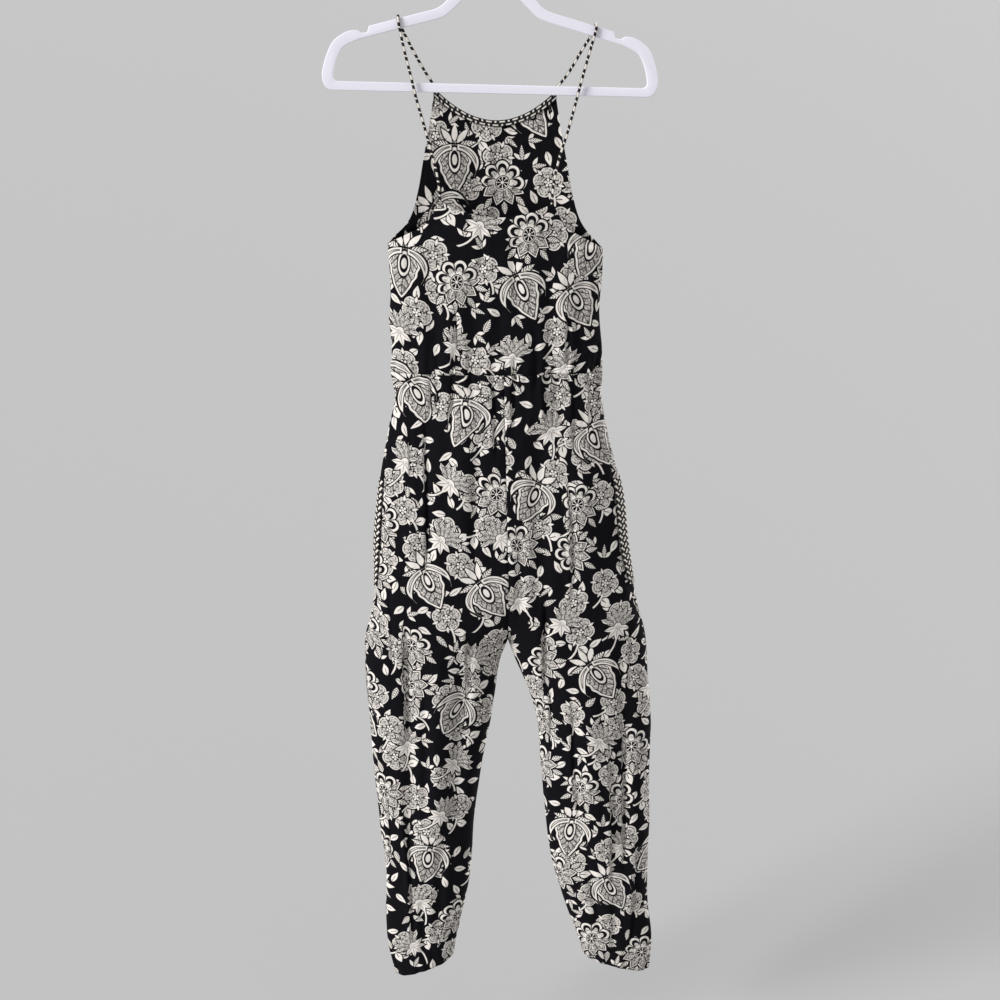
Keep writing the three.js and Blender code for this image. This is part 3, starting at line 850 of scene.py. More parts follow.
@dataclass(frozen=True)
class Fold:
    """A soft fold that runs down the cloth: a trough, or a ridge where its depth is below zero."""

    side: Side
    top_z: float
    bottom_z: float
    top_x: float
    bottom_x: float
    depth: float
    width: float
    bow: float = 0.0
    tuck: float = 0.0

    @classmethod
    def several(cls, side: Side, rows: Sequence[Sequence[float]]) -> tuple["Fold", ...]:
        """Make one side's folds from rows of their measurements, in the order of the fields."""
        return tuple(cls(side, *row) for row in rows)

    def place(self, x: Array, z: Array) -> tuple[Array, Array]:
        """How far along the fold and to the side of it a place lies.

        Args:
            x: Across, in millimetres.
            z: Heights.

        Returns:
            Shares: 0 to 1 along, and -1 to 1 across.
        """
        along = (z - self.top_z) / (self.bottom_z - self.top_z)
        middle = self.top_x + (self.bottom_x - self.top_x) * along + self.bow * np.sin(np.pi * along)
        return along, (x - middle) / self.width

    def depth_at(self, x: Array, z: Array, fade: float = 0.28) -> Array:
        """How far the fold pushes the cloth in.

        Args:
            x: Across, in millimetres.
            z: Heights.
            fade: Share of the length over which an end fades.

        Returns:
            Depths in millimetres.
        """
        along, across = self.place(x, z)
        strength = smooth(along / fade) * smooth((1 - along) / fade) * self.depth
        if not self.tuck:
            return strength * np.cos(np.clip(across, -1, 1) * math.pi / 2) ** 2
        lip = -0.55 * smooth(across + 1)
        fall = lip + 1.45 * smooth(across / 0.16)
        rest = fall * np.where(across > 0.16, 1 - smooth((across - 0.16) / 0.84), 1.0)
        return strength * np.where(np.abs(across) < 1, rest, 0.0)

    def hidden_at(self, x: Array, z: Array, fade: float = 0.28) -> Array:
        """Width of cloth that is tucked away on the near side of a place.

        Args:
            x: Across, in millimetres.
            z: Heights.
            fade: Share of the length over which an end fades.

        Returns:
            Widths in millimetres.
        """
        along, across = self.place(x, z)
        strength = smooth(along / fade) * smooth((1 - along) / fade)
        return self.tuck * strength * (smooth(across / 0.2 + 0.25) - 0.5)


def smooth(t: Array) -> Array:
    """Ease from 0 to 1.

    Args:
        t: Any numbers.

    Returns:
        The numbers held to 0 to 1 and eased.
    """
    t = np.clip(t, 0, 1)
    return t * t * (3 - 2 * t)


# Each row: top and bottom height, x at the top and at the bottom, depth, half width, bow and tuck
MAIN_FOLDS: tuple[Fold, ...] = (
    *Fold.several(Side.BACK, (
        (-405, -600, -84, -78, 4, 17), (-420, -640, -28, -30, 3, 18), (-410, -690, 66, 78, 5, 17),
        (-430, -640, 108, 112, 4, 15), (-600, -890, -92, -98, 7, 19), (-590, -800, -40, -52, -4, 22),
        (-610, -930, 52, 60, 4, 20), (-640, -900, 112, 128, -4, 24), (-870, -1330, -124, -122, 7, 18),
        (-900, -1300, -80, -88, -4, 24), (-930, -1290, -42, -66, 6, 17), (-870, -1110, 60, 76, 5, 17),
        (-960, -1330, 118, 140, -5, 26), (-880, -1340, 172, 178, 7, 18),
    )),
    *Fold.several(Side.FRONT, (
        (-300, -560, -46, -62, 3, 18), (-290, -570, 40, 58, 3, 18), (-430, -680, -8, 4, -3, 22),
        (-590, -880, -88, -102, 6, 19), (-600, -860, 94, 112, 6, 19), (-620, -900, -36, -44, 4, 19),
        (-610, -900, 56, 64, 4, 19), (-900, -1320, -118, -116, 6, 18), (-940, -1300, -48, -68, 5, 17),
        (-930, -1330, 158, 172, 6, 18), (-950, -1250, 92, 104, 5, 17),
    )),
)
FINE_FOLDS: tuple[Fold, ...] = (
    *Fold.several(Side.BACK, (
        (-380, -470, -18, -24, 1.8, 9, 3), (-385, -520, 22, 30, 2.1, 10, -2),
        (-470, -610, 2, -4, 1.8, 12, 3), (-400, -560, -112, -104, 2.4, 9, -4),
        (-500, -600, 46, 50, 2.4, 9, 2), (-520, -660, -60, -66, 3.0, 9, 3, 7),
        (-540, -660, 22, 18, 2.7, 9, -2, 6), (-560, -700, 90, 98, 2.7, 9, 3, 6),
        (-620, -870, -98, -99, 3.6, 11, 2, 12), (-640, -730, -119, -118, 2.7, 9, 2, 9),
        (-650, -880, -22, -30, 2.7, 12, -4), (-700, -900, 88, 96, 2.7, 11, 4, 7),
        (-760, -940, 30, 26, 2.4, 12, 3), (-860, -1010, -150, -148, 3.0, 10, 2, 8),
        (-900, -1110, -128, -127, 3.6, 11, -2, 12), (-920, -1050, -45, -46, 3.3, 10, 2, 10),
        (-870, -1050, 60, 62, 3.3, 10, -2, 10), (-920, -1040, 176, 176, 3.0, 9, 2, 9),
        (-980, -1260, -104, -108, 2.7, 12, 5), (-1010, -1240, 98, 112, 2.7, 12, -4, 6),
        (-1060, -1360, 150, 156, 3.0, 12, 3, 7), (-1180, -1440, -136, -128, 3.3, 10, 3, 6),
        (-1200, -1440, -74, -88, 3.0, 11, -3), (-1240, -1450, 192, 186, 3.3, 10, 3, 6),
        (-1260, -1440, 122, 146, 3.0, 11, 2), (-1340, -1470, -112, -110, 2.4, 9, 2),
        (-1340, -1470, 166, 170, 2.4, 9, -2), (-1000, -1120, 66, 70, 3.6, 8, 2, 8),
        (-1040, -1320, 168, 174, 3.4, 9, 3, 9), (-1180, -1300, -156, -150, 3.2, 8, -2, 7),
        (-570, -700, -8, -6, 2.6, 7, 2, 5), (-560, -650, 60, 62, 2.8, 7, -2, 5),
        (-560, -640, -88, -90, 2.6, 7, 1, 5), (-570, -660, 118, 120, 2.6, 7, 1, 5),
        (-470, -590, -58, -56, 2.6, 8, 2, 4), (-480, -590, 92, 90, 2.6, 8, -2, 4),
    )),
    *Fold.several(Side.FRONT, (
        (-270, -420, -10, -16, 1.8, 14, 4), (-300, -480, 70, 84, 2.4, 11, 3),
        (-310, -470, -74, -88, 2.4, 11, -3), (-440, -620, 22, 28, 2.7, 11, 3, 5),
        (-450, -610, -34, -30, 2.7, 11, -2, 5), (-520, -690, 96, 102, 3.0, 10, 3, 6),
        (-530, -700, -98, -106, 3.0, 10, 2, 7), (-640, -860, -70, -72, 3.3, 11, 2, 8),
        (-650, -880, 78, 84, 3.3, 11, -2, 8), (-700, -900, -12, -16, 2.4, 12, 3),
        (-880, -1100, -140, -136, 3.3, 10, 2, 9), (-900, -1120, -76, -80, 3.0, 11, -3, 6),
        (-880, -1090, 66, 76, 3.3, 10, 2, 8), (-930, -1180, 130, 138, 3.0, 12, 3, 6),
        (-950, -1160, 186, 188, 3.3, 10, 2, 8), (-1140, -1420, -94, -100, 3.0, 11, 3),
        (-1180, -1440, 148, 164, 3.0, 11, -3), (-1200, -1450, -130, -126, 3.0, 10, 2, 5),
        (-1220, -1450, 192, 194, 3.0, 10, 2, 5),
    )),
)


@dataclass(frozen=True)
class JumpsuitForm:
    """The hung shape of the garment, worked out from its tables in millimetres."""

    waist_z: float = -578
    underarm_z: float = -415
    rise_top_z: float = -850
    crotch_z: float = -950
    hem_z: float = -1480
    crotch_x: float = 14
    centre_top_x: float = 9
    neck: tuple[float, float] = (-219, -258)
    back_top: tuple[float, float] = (-357, -376)
    neck_trim: float = 8.0
    spread_power: float = 1.6
    parting_power: float = 3.0
    inner_lift: float = 30.0
    corner_lift: float = 9.0
    main_strength: float = 1.2
    fine_strength: float = 1.5

    def folds(self, side: Side, x: Array, z: Array) -> Array:
        """Depth of all folds of one side.

        Args:
            side: The side.
            x: Across.
            z: Heights.

        Returns:
            Depths in millimetres.
        """
        depth = np.zeros(np.broadcast(x, z).shape)
        for folds, strength in ((MAIN_FOLDS, self.main_strength), (FINE_FOLDS, self.fine_strength)):
            for fold in folds:
                if fold.side is side:
                    depth = depth + fold.depth_at(x, z) * strength
        return depth

    def hidden(self, side: Side, x: Array, z: Array) -> Array:
        """Cloth tucked away in the folds of one side, which shifts the print.

        Args:
            side: The side.
            x: Across.
            z: Heights.

        Returns:
            Widths in millimetres.
        """
        width = np.zeros(np.broadcast(x, z).shape)
        for fold in FINE_FOLDS:
            if fold.side is side and fold.tuck:
                width = width + fold.hidden_at(x, z)
        return width

    def lean(self, x: Array, z: Array) -> Array:
        """Height after the garment's tilt."""
        return z - x * LEAN.read("slope", z)

    def bodice(self, side: Side, s: Array, z: Array) -> Grid:
        """A point below the underarm; s runs from the left side seam to the right one.

        Args:
            side: Front or back.
            s: Share of the way across.
            z: Heights.

        Returns:
            Its x, y and z.
        """
        angle = math.pi * s
        left, right = BODICE.read("left", z), BODICE.read("right", z)
        x = left + (right - left) * (1 - np.cos(angle)) / 2
        depth = BODICE.read(side.value, z) - self.folds(side, x, z)
        return x, side.away * depth * np.sin(angle), z

    def upper(self, side: Side, s: Array, rise: Array, drop: float) -> Grid:
        """A point above the underarm; rise runs from 0 there to 1 at the top edge.

        Args:
            side: Front or back.
            s: Share of the way across.
            rise: Share of the way up.
            drop: How far below its full height the top edge ends.

        Returns:
            Its x, y and z.
        """
        table = FRONT_ARMHOLE if side is Side.FRONT else BACK_ARMHOLE
        corner_z, low_z = self.neck if side is Side.FRONT else self.back_top
        level = self.underarm_z + (corner_z - self.underarm_z) * rise
        half = table.read("half", level)
        angle = math.pi * s
        share = -np.cos(angle)
        swell = np.abs(np.sin(angle)) ** (1 + smooth(rise * 8))
        slope = 2 * (corner_z - low_z) * share / half
        sag = (corner_z - low_z) * (1 - share * share) + drop * np.hypot(1, slope)
        z = level - sag * rise ** self.spread_power
        x = half * share
        bulge = table.read("bulge", level) - self.folds(side, x, z) * np.sin(angle)
        return x, side.away * (table.read("edge", level) + bulge * swell), z

    def spread(self, top_z: float, bottom_z: float, level: Array) -> Array:
        """How far round a leg's section goes at a level.

        Args:
            top_z: Where it starts to close.
            bottom_z: Where it is a half turn.
            level: Heights.

        Returns:
            Angles in radians.
        """
        return math.pi / 2 * (1 + smooth((top_z - level) / (top_z - bottom_z)))

    def trouser(self, side: Side, leg: Leg, s: Array, level: Array) -> Grid:
        """A point of one trouser panel; s runs from its side seam to the centre seam or inseam.

        Args:
            side: Front or back.
            leg: Which leg.
            s: Share of the way across.
            level: Heights before the hem's lift.

        Returns:
            Its x, y and z.
        """
        spread = self.spread(-800, -950, level)
        turn = -side.away * np.radians(TROUSERS.read(f"{leg.value}_turn", level))
        angle = turn + (spread - turn) * s
        closing = np.clip((self.rise_top_z - level) / (self.rise_top_z - self.crotch_z), 0, 1)
        outer = TROUSERS.read(leg.value, level)
        down = np.clip((self.waist_z - level) / (self.waist_z - self.rise_top_z), 0, 1)
        centre = self.centre_top_x + (self.crotch_x - self.centre_top_x) * down
        inner = np.where(level >= self.crotch_z, centre, INSEAM.read(leg.value, level))
        share = (1 - np.cos(angle)) / (1 - np.cos(spread))
        parted = np.clip((self.crotch_z - level) / (self.crotch_z + 1090), 0, 1)
        power = self.parting_power + (1 - self.parting_power) * parted
        x = outer + (centre - outer) * share + (inner - centre) * share ** power
        within = np.minimum(1, share)
        side_round = self.spread(-760, -1090, level)
        roundness = side_round + (math.pi / 2 + np.arcsin(closing) - side_round) * within ** 4
        reach = np.sin(np.arccos(1 - within * (1 - np.cos(roundness))))
        ahead = np.where(angle < 0, -1.0, 1.0)
        pushed = self.folds(side, x, level) * np.maximum(0, reach * ahead)
        depth = TROUSERS.read(side.value, level) - pushed
        corner = (1 - np.sin(math.pi * within)) ** 3
        fade = smooth((-1240 - level) / (-1240 - self.hem_z))
        z = level + fade * (self.inner_lift * share + self.corner_lift * corner)
        return x, side.away * depth * reach * ahead, z


@dataclass
class ClothPanel:
    """One cut piece of the printed cloth: a thin shell with seams, hems, gathers and creases."""

    name: str
    side: Side
    flat: tuple[float, float]
    area: float
    columns: int
    rows: Array
    surface: Callable[[Array, Array], Grid]
    outward_turn: int
    print_shift: tuple[float, float]
    free_edges: tuple[str, ...] = ()
    open_rows: int = 0
    gathers: tuple[tuple[str, float, float], ...] = ()
    thickness: float = 0.55
    stitch_inset: float = 6.2
    stitch_pitch: float = 3.4
    form: JumpsuitForm = field(default_factory=JumpsuitForm)

    def edge_distances(self, points: Array) -> dict[str, Array]:
        """Distance of each point from the panel's four edges along the cloth, in millimetres.

        Args:
            points: The panel's points.

        Returns:
            One grid of distances for each edge's name.
        """
        steps = np.linalg.norm(np.diff(points, axis=1), axis=2)
        start = np.concatenate([np.zeros((len(points), 1)), np.cumsum(steps, axis=1)], axis=1)
        falls = np.linalg.norm(np.diff(points, axis=0), axis=2)
        top = np.concatenate([np.zeros((1, points.shape[1])), np.cumsum(falls, axis=0)], axis=0)
        return {"start": start, "end": start[:, -1:] - start, "top": top, "bottom": top[-1:] - top}

    def freedom(self, edge: str, count: int) -> Array:
        """1 in the rows where an edge is hemmed, 0 where it is sewn to the next piece.

        Args:
            edge: The edge's name.
            count: How many rows there are.

        Returns:
            One number for each row.
        """
        if edge in self.free_edges:
            return np.ones((count, 1))
        if edge in ("start", "end"):
            return smooth((self.open_rows - np.arange(count)[:, None]) / 3)
        return np.zeros((count, 1))

    def stitch_line(self, edge: str, grids: Sequence[Array], distances: dict[str, Array]) -> list[Array]:
        """Values of several grids along the line of stitches beside an edge.

        Args:
            edge: The edge's name.
            grids: Grids of points or normals.
            distances: The panel's edge distances.

        Returns:
            One array for each grid.
        """
        along_rows = edge in ("top", "bottom")
        distance = distances[edge].T if along_rows else distances[edge][:self.open_rows]
        lines: list[Array] = []
        for grid in grids:
            values = grid.transpose(1, 0, 2) if along_rows else grid[:self.open_rows]
            picked = []
            for row, gaps in zip(values, distance):
                order = np.argsort(gaps)
                picked.append([np.interp(self.stitch_inset, gaps[order], row[order, k]) for k in range(3)])
            lines.append(np.array(picked))
        return lines

    def stitches(self, points: Array, normals: Array, distances: dict[str, Array],
                 thread: bpy.types.Material) -> None:
        """Sew a row of small thread stitches beside every hemmed edge.

        Args:
            points: The panel's points.
            normals: Their outward directions.
            distances: How far each point is from every edge.
            thread: The thread's material.
        """
        edges = self.free_edges + (("start", "end") if self.open_rows else ())
        spots: list[Grid] = []
        for edge in edges:
            line, outward = self.stitch_line(edge, (points, normals), distances)
            run = run_along(line)
            for place in np.arange(self.stitch_inset, run[-1] - self.stitch_inset, self.stitch_pitch):
                at = np.array([np.interp(place, run, line[:, k]) for k in range(3)])
                ahead = np.array([np.interp(place + 1, run, line[:, k]) for k in range(3)]) - at
                out = np.array([np.interp(place, run, outward[:, k]) for k in range(3)])
                spots.append((at, ahead / np.linalg.norm(ahead), out / np.linalg.norm(out)))
        obj = thread_object(f"{self.name}_thread", spots, thread)
        dress(obj, "printed_cloth")

    @staticmethod
    def crumple(x: float, y: float, z: float) -> float:
        """Soft creases of worn cloth at a place: long ones that hang, and small slanting ones.

        Args:
            x: Across, in millimetres.
            y: Depth.
            z: Height.

        Returns:
            The outward move in millimetres.
        """
        hung = noise.noise(Vector((x / 30, y / 60, z / 95)))
        slanted = noise.noise(Vector(((x + z * 0.5) / 26, y / 50, (z - x * 0.5) / 55 + 7)))
        fine = noise.noise(Vector((x / 11, y / 40, z / 24 + 3)))
        return 1.7 * hung + 1.1 * slanted * abs(slanted) * 2 + 0.42 * fine

    def relief(self, points: Array, distances: dict[str, Array]) -> Array:
        """Small outward moves: hems, seams, gathers and soft creases.

        Args:
            points: The panel's points.
            distances: How far each point is from every edge.

        Returns:
            One move for each point, in millimetres.
        """
        move = np.zeros(points.shape[:2])
        for edge, distance in distances.items():
            free = self.freedom(edge, len(points))
            hem = 0.45 * smooth((8.5 - distance) / 1.6)
            move += free * (hem - 0.35 * np.exp(-((distance - 6.4) / 0.9) ** 2))
            move -= (1 - free) * 0.45 * np.exp(-(distance / 2.2) ** 2)
        for edge, reach, height in self.gathers:
            run = distances["start"]
            waves = np.sin(run / 2.35 + 0.9 * np.sin(run / 9.1)) + 0.6 * np.sin(run / 4.1 + 1.7)
            edge_fade = smooth(distances["start"] / 9) * smooth(distances["end"] / 9)
            near = np.exp(-distances[edge] / reach) * smooth(distances[edge] / 4 + 0.35)
            move += height * waves * near * edge_fade
        crumple = np.array([self.crumple(*point) for point in points.reshape(-1, 3)]).reshape(move.shape)
        seam_fade = np.ones_like(move)
        for edge, distance in distances.items():
            free = self.freedom(edge, len(points))
            seam_fade *= free + (1 - free) * (0.55 + 0.45 * smooth(distance / 10))
        return move + crumple * seam_fade

    def build(self, cad_node: str, slot: str, material: bpy.types.Material,
              thread: bpy.types.Material) -> bpy.types.Object:
        """Args:
            cad_node: The CAD node that it stands for.
            slot: The record's material slot.
            material: The printed cloth.
            thread: The sewing thread.

        Returns:
            The panel's object.
        """
        s = np.linspace(0, 1, self.columns + 1)[None, :]
        rows = self.rows[:, None]
        shape = (len(self.rows), self.columns + 1)
        x, y, z = (np.broadcast_to(part, shape).astype(float) for part in self.surface(s, rows))
        hidden = self.form.hidden(self.side, x, z)
        points = np.stack([x, y, self.form.lean(x, z)], axis=2)
        distances = self.edge_distances(points)
        middle = self.columns // 2
        run = distances["start"] - distances["start"][:, middle:middle + 1]
        toward = np.sign(x[:, -1:] - x[:, :1])
        u = x[:, middle:middle + 1] + toward * run + hidden
        outward = grid_normals(points, self.outward_turn)
        points = points + outward * self.relief(points, distances)[:, :, None]
        self.stitches(points, grid_normals(points, self.outward_turn), distances, thread)
        uv = np.stack([(u + self.print_shift[0]) * MM, (z + self.print_shift[1]) * MM], axis=2)
        obj = grid_object(self.name, points * MM, uv, self.outward_turn > 0, material)
        thicken(obj, self.thickness)
        dress(obj, slot, cad_node)
        LOG.info("%s: %d faces, %.4f m2", self.name, len(obj.data.polygons),
                 sum(face.area for face in obj.data.polygons))
        return obj


def run_along(line: Array) -> Array:
    """Distance of each point of a line from its start."""
    return np.concatenate([[0], np.cumsum(np.linalg.norm(np.diff(line, axis=0), axis=1))])


def grid_normals(points: Array, outward_turn: int) -> Array:
    """Work out the outward normals of a grid.

    Args:
        points: Rows by columns by 3.
        outward_turn: 1 or -1, for the way the grid is wound.

    Returns:
        One unit vector for each point.
    """
    across, down = np.gradient(points, axis=1), np.gradient(points, axis=0)
    made = np.cross(down, across) * outward_turn
    return made / np.maximum(np.linalg.norm(made, axis=2, keepdims=True), 1e-9)


def mesh_object(name: str, vertices: Sequence[Sequence[float]], faces: Sequence[Sequence[int]],
                material: bpy.types.Material, corners: Array | None = None) -> bpy.types.Object:
    """Make an object from its points and faces.

    Args:
        name: The object's name.
        vertices: Its points, in metres.
        faces: Its faces, as numbers of points.
        material: Its material.
        corners: The UV map's place for each face corner; a piece that has one is shaded smooth.

    Returns:
        The object.
    """
    mesh = bpy.data.meshes.new(name)
    mesh.from_pydata(vertices, [], faces)
    if corners is not None:
        layer = mesh.uv_layers.new(name="cloth")
        layer.data.foreach_set("uv", corners.astype(np.float32).reshape(-1))
        mesh.polygons.foreach_set("use_smooth", np.ones(len(mesh.polygons), dtype=bool))
    mesh.materials.append(material)
    obj = bpy.data.objects.new(name, mesh)
    bpy.context.scene.collection.objects.link(obj)
    return obj


def thicken(obj: bpy.types.Object, thickness: float) -> None:
    """Give a sheet its thickness, in millimetres, on its inner side."""
    shell = obj.modifiers.new("thickness", "SOLIDIFY")
    shell.thickness = thickness * MM
    shell.offset = -1


def grid_object(name: str, points: Array, uv: Array, flip: bool,
                material: bpy.types.Material) -> bpy.types.Object:
    """Make a sheet of quads with a UV map.

    Args:
        name: The object's name.
        points: Rows by columns by 3, in metres.
        uv: Rows by columns by 2.
        flip: Whether the faces are turned over.
        material: Its material.

    Returns:
        The object.
    """
    rows, columns = points.shape[:2]
    index = np.arange(rows * columns).reshape(rows, columns)
    a, b = index[:-1, :-1], index[:-1, 1:]
    c, d = index[1:, 1:], index[1:, :-1]
    corners = (a, b, c, d) if flip else (a, d, c, b)
    faces = np.stack(corners, axis=2).reshape(-1, 4)
    corner_uv = uv.reshape(-1, 2)[faces.reshape(-1)]
    return mesh_object(name, points.reshape(-1, 3).tolist(), faces.tolist(), material, corner_uv)


def thread_object(name: str, spots: Sequence[Grid],
                  material: bpy.types.Material) -> bpy.types.Object:
    """Make short flat stitches, each a stretched six-sided bead.

    Args:
        name: The object's name.
        spots: Place, direction and outward direction of each, in millimetres.
        material: The thread.

    Returns:
        The object.
    """
    outline = ((-1.25, 0.0), (-0.8, 0.24), (0.8, 0.24), (1.25, 0.0), (0.8, -0.24), (-0.8, -0.24))
    vertices: list[tuple[float, ...]] = []
    faces: list[tuple[int, ...]] = []
    for at, ahead, out in spots:
        first = len(vertices)
        aside = np.cross(out, ahead)
        vertices += [tuple((at + ahead * x + aside * y + out * 0.05) * MM) for x, y in outline]
        vertices += [tuple((at + out * 0.42 + ahead * x) * MM) for x in (-0.55, 0.55)]
        low, high = first + 6, first + 7
        faces += [(first, low, first + 1), (first + 1, low, high, first + 2), (first + 2, high, first + 3),
                  (first + 3, high, first + 4), (first + 4, high, low, first + 5), (first + 5, low, first),
                  tuple(range(first, first + 6))]
    return mesh_object(name, vertices, faces, material)


def dress(obj: bpy.types.Object, slot: str, *cad_nodes: str) -> None:
    """Let a piece ride on the part and stand for its CAD nodes.

    Args:
        obj: The piece.
        slot: The record's material slot; not used.
        cad_nodes: The nodes, if any.
    """
    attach(obj, "root")
    if cad_nodes:
        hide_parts(*cad_nodes)


def deselect_all() -> None:
    """Leave edit mode and select nothing."""
    if bpy.context.object and bpy.context.object.mode != "OBJECT":
        bpy.ops.object.mode_set(mode="OBJECT")
    bpy.ops.object.select_all(action="DESELECT")


@dataclass
class Cloth:
    """All the printed panels."""

    form: JumpsuitForm = field(default_factory=JumpsuitForm)
    bodice_columns: int = 128
    leg_columns: int = 78

    def bodice_panel(self, side: Side) -> ClothPanel:
        """The front or back of the top.

        Args:
            side: Which of them.

        Returns:
            The panel.
        """
        drop = self.form.neck_trim if side is Side.FRONT else 0.0
        top_rows = 56 if side is Side.FRONT else 24

        def surface(s: Array, row: Array) -> Grid:
            """Rows below 1 are above the underarm.

            Args:
                s: Share of the way across.
                row: 0 at the top edge, 1 at the underarm and 2 at the waist.

            Returns:
                The points' x, y and z.
            """
            above = self.form.upper(side, s, 1 - np.clip(row, 0, 1), drop)
            z = self.form.underarm_z + (self.form.waist_z - self.form.underarm_z) * np.clip(row - 1, 0, 1)
            below = self.form.bodice(side, s, z)
            return tuple(np.where(row < 1, high, low) for high, low in zip(above, below))

        rows = np.concatenate([np.linspace(0, 1, top_rows, endpoint=False), np.linspace(1, 2, 46)])
        front = side is Side.FRONT
        return ClothPanel(
            name=f"{side.value}_bodice_cloth", side=side,
            flat=(0.3, 0.345) if front else (0.3, 0.22), area=0.083 if front else 0.055,
            columns=self.bodice_columns, rows=rows, surface=surface,
            outward_turn=-1 if front else 1,
            print_shift=(0.0, 11.0) if front else (37.0, -19.0),
            free_edges=("top",), open_rows=top_rows, gathers=(("bottom", 24.0, 1.5),), form=self.form)

    def trouser_panel(self, side: Side, leg: Leg) -> ClothPanel:
        """One quarter of the trousers.

        Args:
            side: Front or back.
            leg: Which leg.

        Returns:
            The panel.
        """
        form = self.form
        hip = np.linspace(form.waist_z, form.rise_top_z, 76, endpoint=False)
        rise = form.rise_top_z + (form.crotch_z - form.rise_top_z) * np.sin(
            np.linspace(0, math.pi / 2, 32, endpoint=False))
        lower = np.linspace(form.crotch_z, form.hem_z, 150)
        shifts = {
            (Side.BACK, Leg.LEFT): (0.0, 0.0), (Side.BACK, Leg.RIGHT): (143.0, 52.0),
            (Side.FRONT, Leg.LEFT): (-71.0, 131.0), (Side.FRONT, Leg.RIGHT): (61.0, 209.0)}
        return ClothPanel(
            name=f"{side.value}_trouser_{leg.value}_cloth", side=side,
            flat=(0.225, 0.91), area=0.15,
            columns=self.leg_columns, rows=np.concatenate([hip, rise, lower]),
            surface=lambda s, level: form.trouser(side, leg, s, level),
            outward_turn=(-1 if side is Side.FRONT else 1) * (-1 if leg is Leg.RIGHT else 1),
            print_shift=shifts[(side, leg)],
            free_edges=("bottom",), gathers=(("top", 26.0, 1.5), ("bottom", 24.0, 1.1)), form=form)

    def build(self, material: bpy.types.Material, thread: bpy.types.Material) -> None:
        """Make every panel.

        Args:
            material: The printed cloth.
            thread: The sewing thread.
        """
        for side in Side:
            self.bodice_panel(side).build(f"{side.value}_bodice", "printed_cloth", material, thread)
            for leg in Leg:
                node = f"{side.value}_trouser_{leg.value}"
                self.trouser_panel(side, leg).build(node, "printed_cloth", material, thread)


# Braids


def tube_object(name: str, path: Array, radius: Callable[[float, float], float], sides: int,
                material: bpy.types.Material) -> bpy.types.Object:
    """Make a closed cord round a path.

    Args:
        name: The object's name.
        path: Points in millimetres.
        radius: Radius in millimetres from the distance along and the angle round.
        sides: How many sides.
        material: Its material.

    Returns:
        The object, with a UV map of millimetres round and along.
    """
    run = run_along(path)
    ahead = np.gradient(path, axis=0)
    ahead /= np.linalg.norm(ahead, axis=1, keepdims=True)
    helper = (0.0, 0.0, 1.0) if abs(ahead[0][2]) < 0.9 else (0.0, 1.0, 0.0)
    aside = np.cross(ahead[0], helper)
    aside /= np.linalg.norm(aside)
    rings = []
    for point, direction in zip(path, ahead):
        aside = aside - direction * aside.dot(direction)
        aside /= np.linalg.norm(aside)
        rings.append((point, aside.copy(), np.cross(direction, aside)))
    angles = TURN * np.arange(sides) / sides
    loops = np.array([[point + first * (radius(along, angle) * math.cos(angle))
                       + second * (radius(along, angle) * math.sin(angle)) for angle in angles]
                      for (point, first, second), along in zip(rings, run)])
    return loft_object(name, loops, np.linspace(0, CORD_GIRTH, sides + 1), run, material)


def loft_object(name: str, loops: Array, around: Array, along: Array,
                material: bpy.types.Material) -> bpy.types.Object:
    """Join closed loops into a solid with flat ends.

    Args:
        name: The object's name.
        loops: Loops by points by 3, in millimetres.
        around: Round value of each point for the UV map, with one more for the closing edge.
        along: Lengthways value of each loop for the UV map.
        material: Its material.

    Returns:
        The object.
    """
    count, sides = loops.shape[:2]
    faces, corners = [], []
    for i in range(count - 1):
        for k in range(sides):
            nxt = (k + 1) % sides
            faces.append((i * sides + k, i * sides + nxt, (i + 1) * sides + nxt, (i + 1) * sides + k))
            corners += [(around[k], along[i]), (around[k + 1], along[i]),
                        (around[k + 1], along[i + 1]), (around[k], along[i + 1])]
    faces += [tuple(range(sides - 1, -1, -1)), tuple(range((count - 1) * sides, count * sides))]
    corners += [(0.0, along[0])] * sides + [(0.0, along[-1])] * sides
    corner_uv = np.array(corners, dtype=np.float32) * MM
    return mesh_object(name, (loops.reshape(-1, 3) * MM).tolist(), faces, material, corner_uv)


def smooth_path(points: Sequence[Sequence[float]], spacing: float) -> Array:
    """A smooth line through points, sampled evenly.

    Args:
        points: Points in millimetres.
        spacing: Distance between samples.

    Returns:
        The samples.
    """
    knots = np.array(points, dtype=float)
    chords = np.sqrt(np.linalg.norm(np.diff(knots, axis=0), axis=1))
    times = np.concatenate([[0], np.cumsum(chords)])
    slopes = np.gradient(knots, times, axis=0)
    fine: list[Array] = []
    for i in range(len(knots) - 1):
        t = np.linspace(0, 1, 40, endpoint=False)[:, None]
        span = times[i + 1] - times[i]
        fine.append((2 * t ** 3 - 3 * t ** 2 + 1) * knots[i] + (t ** 3 - 2 * t ** 2 + t) * span * slopes[i]
                    + (-2 * t ** 3 + 3 * t ** 2) * knots[i + 1] + (t ** 3 - t ** 2) * span * slopes[i + 1])
    line = np.concatenate([*fine, knots[-1:]])
    run = run_along(line)
    wanted = np.linspace(0, run[-1], max(2, int(run[-1] / spacing)))
    return np.stack([np.interp(wanted, run, line[:, k]) for k in range(3)], axis=1)


ARM_LOOP = ((-1, -0.6), (-0.92, 0.4), (-0.5, 0.95), (0, 1.08), (0.5, 0.95), (0.92, 0.4), (1, -0.6))


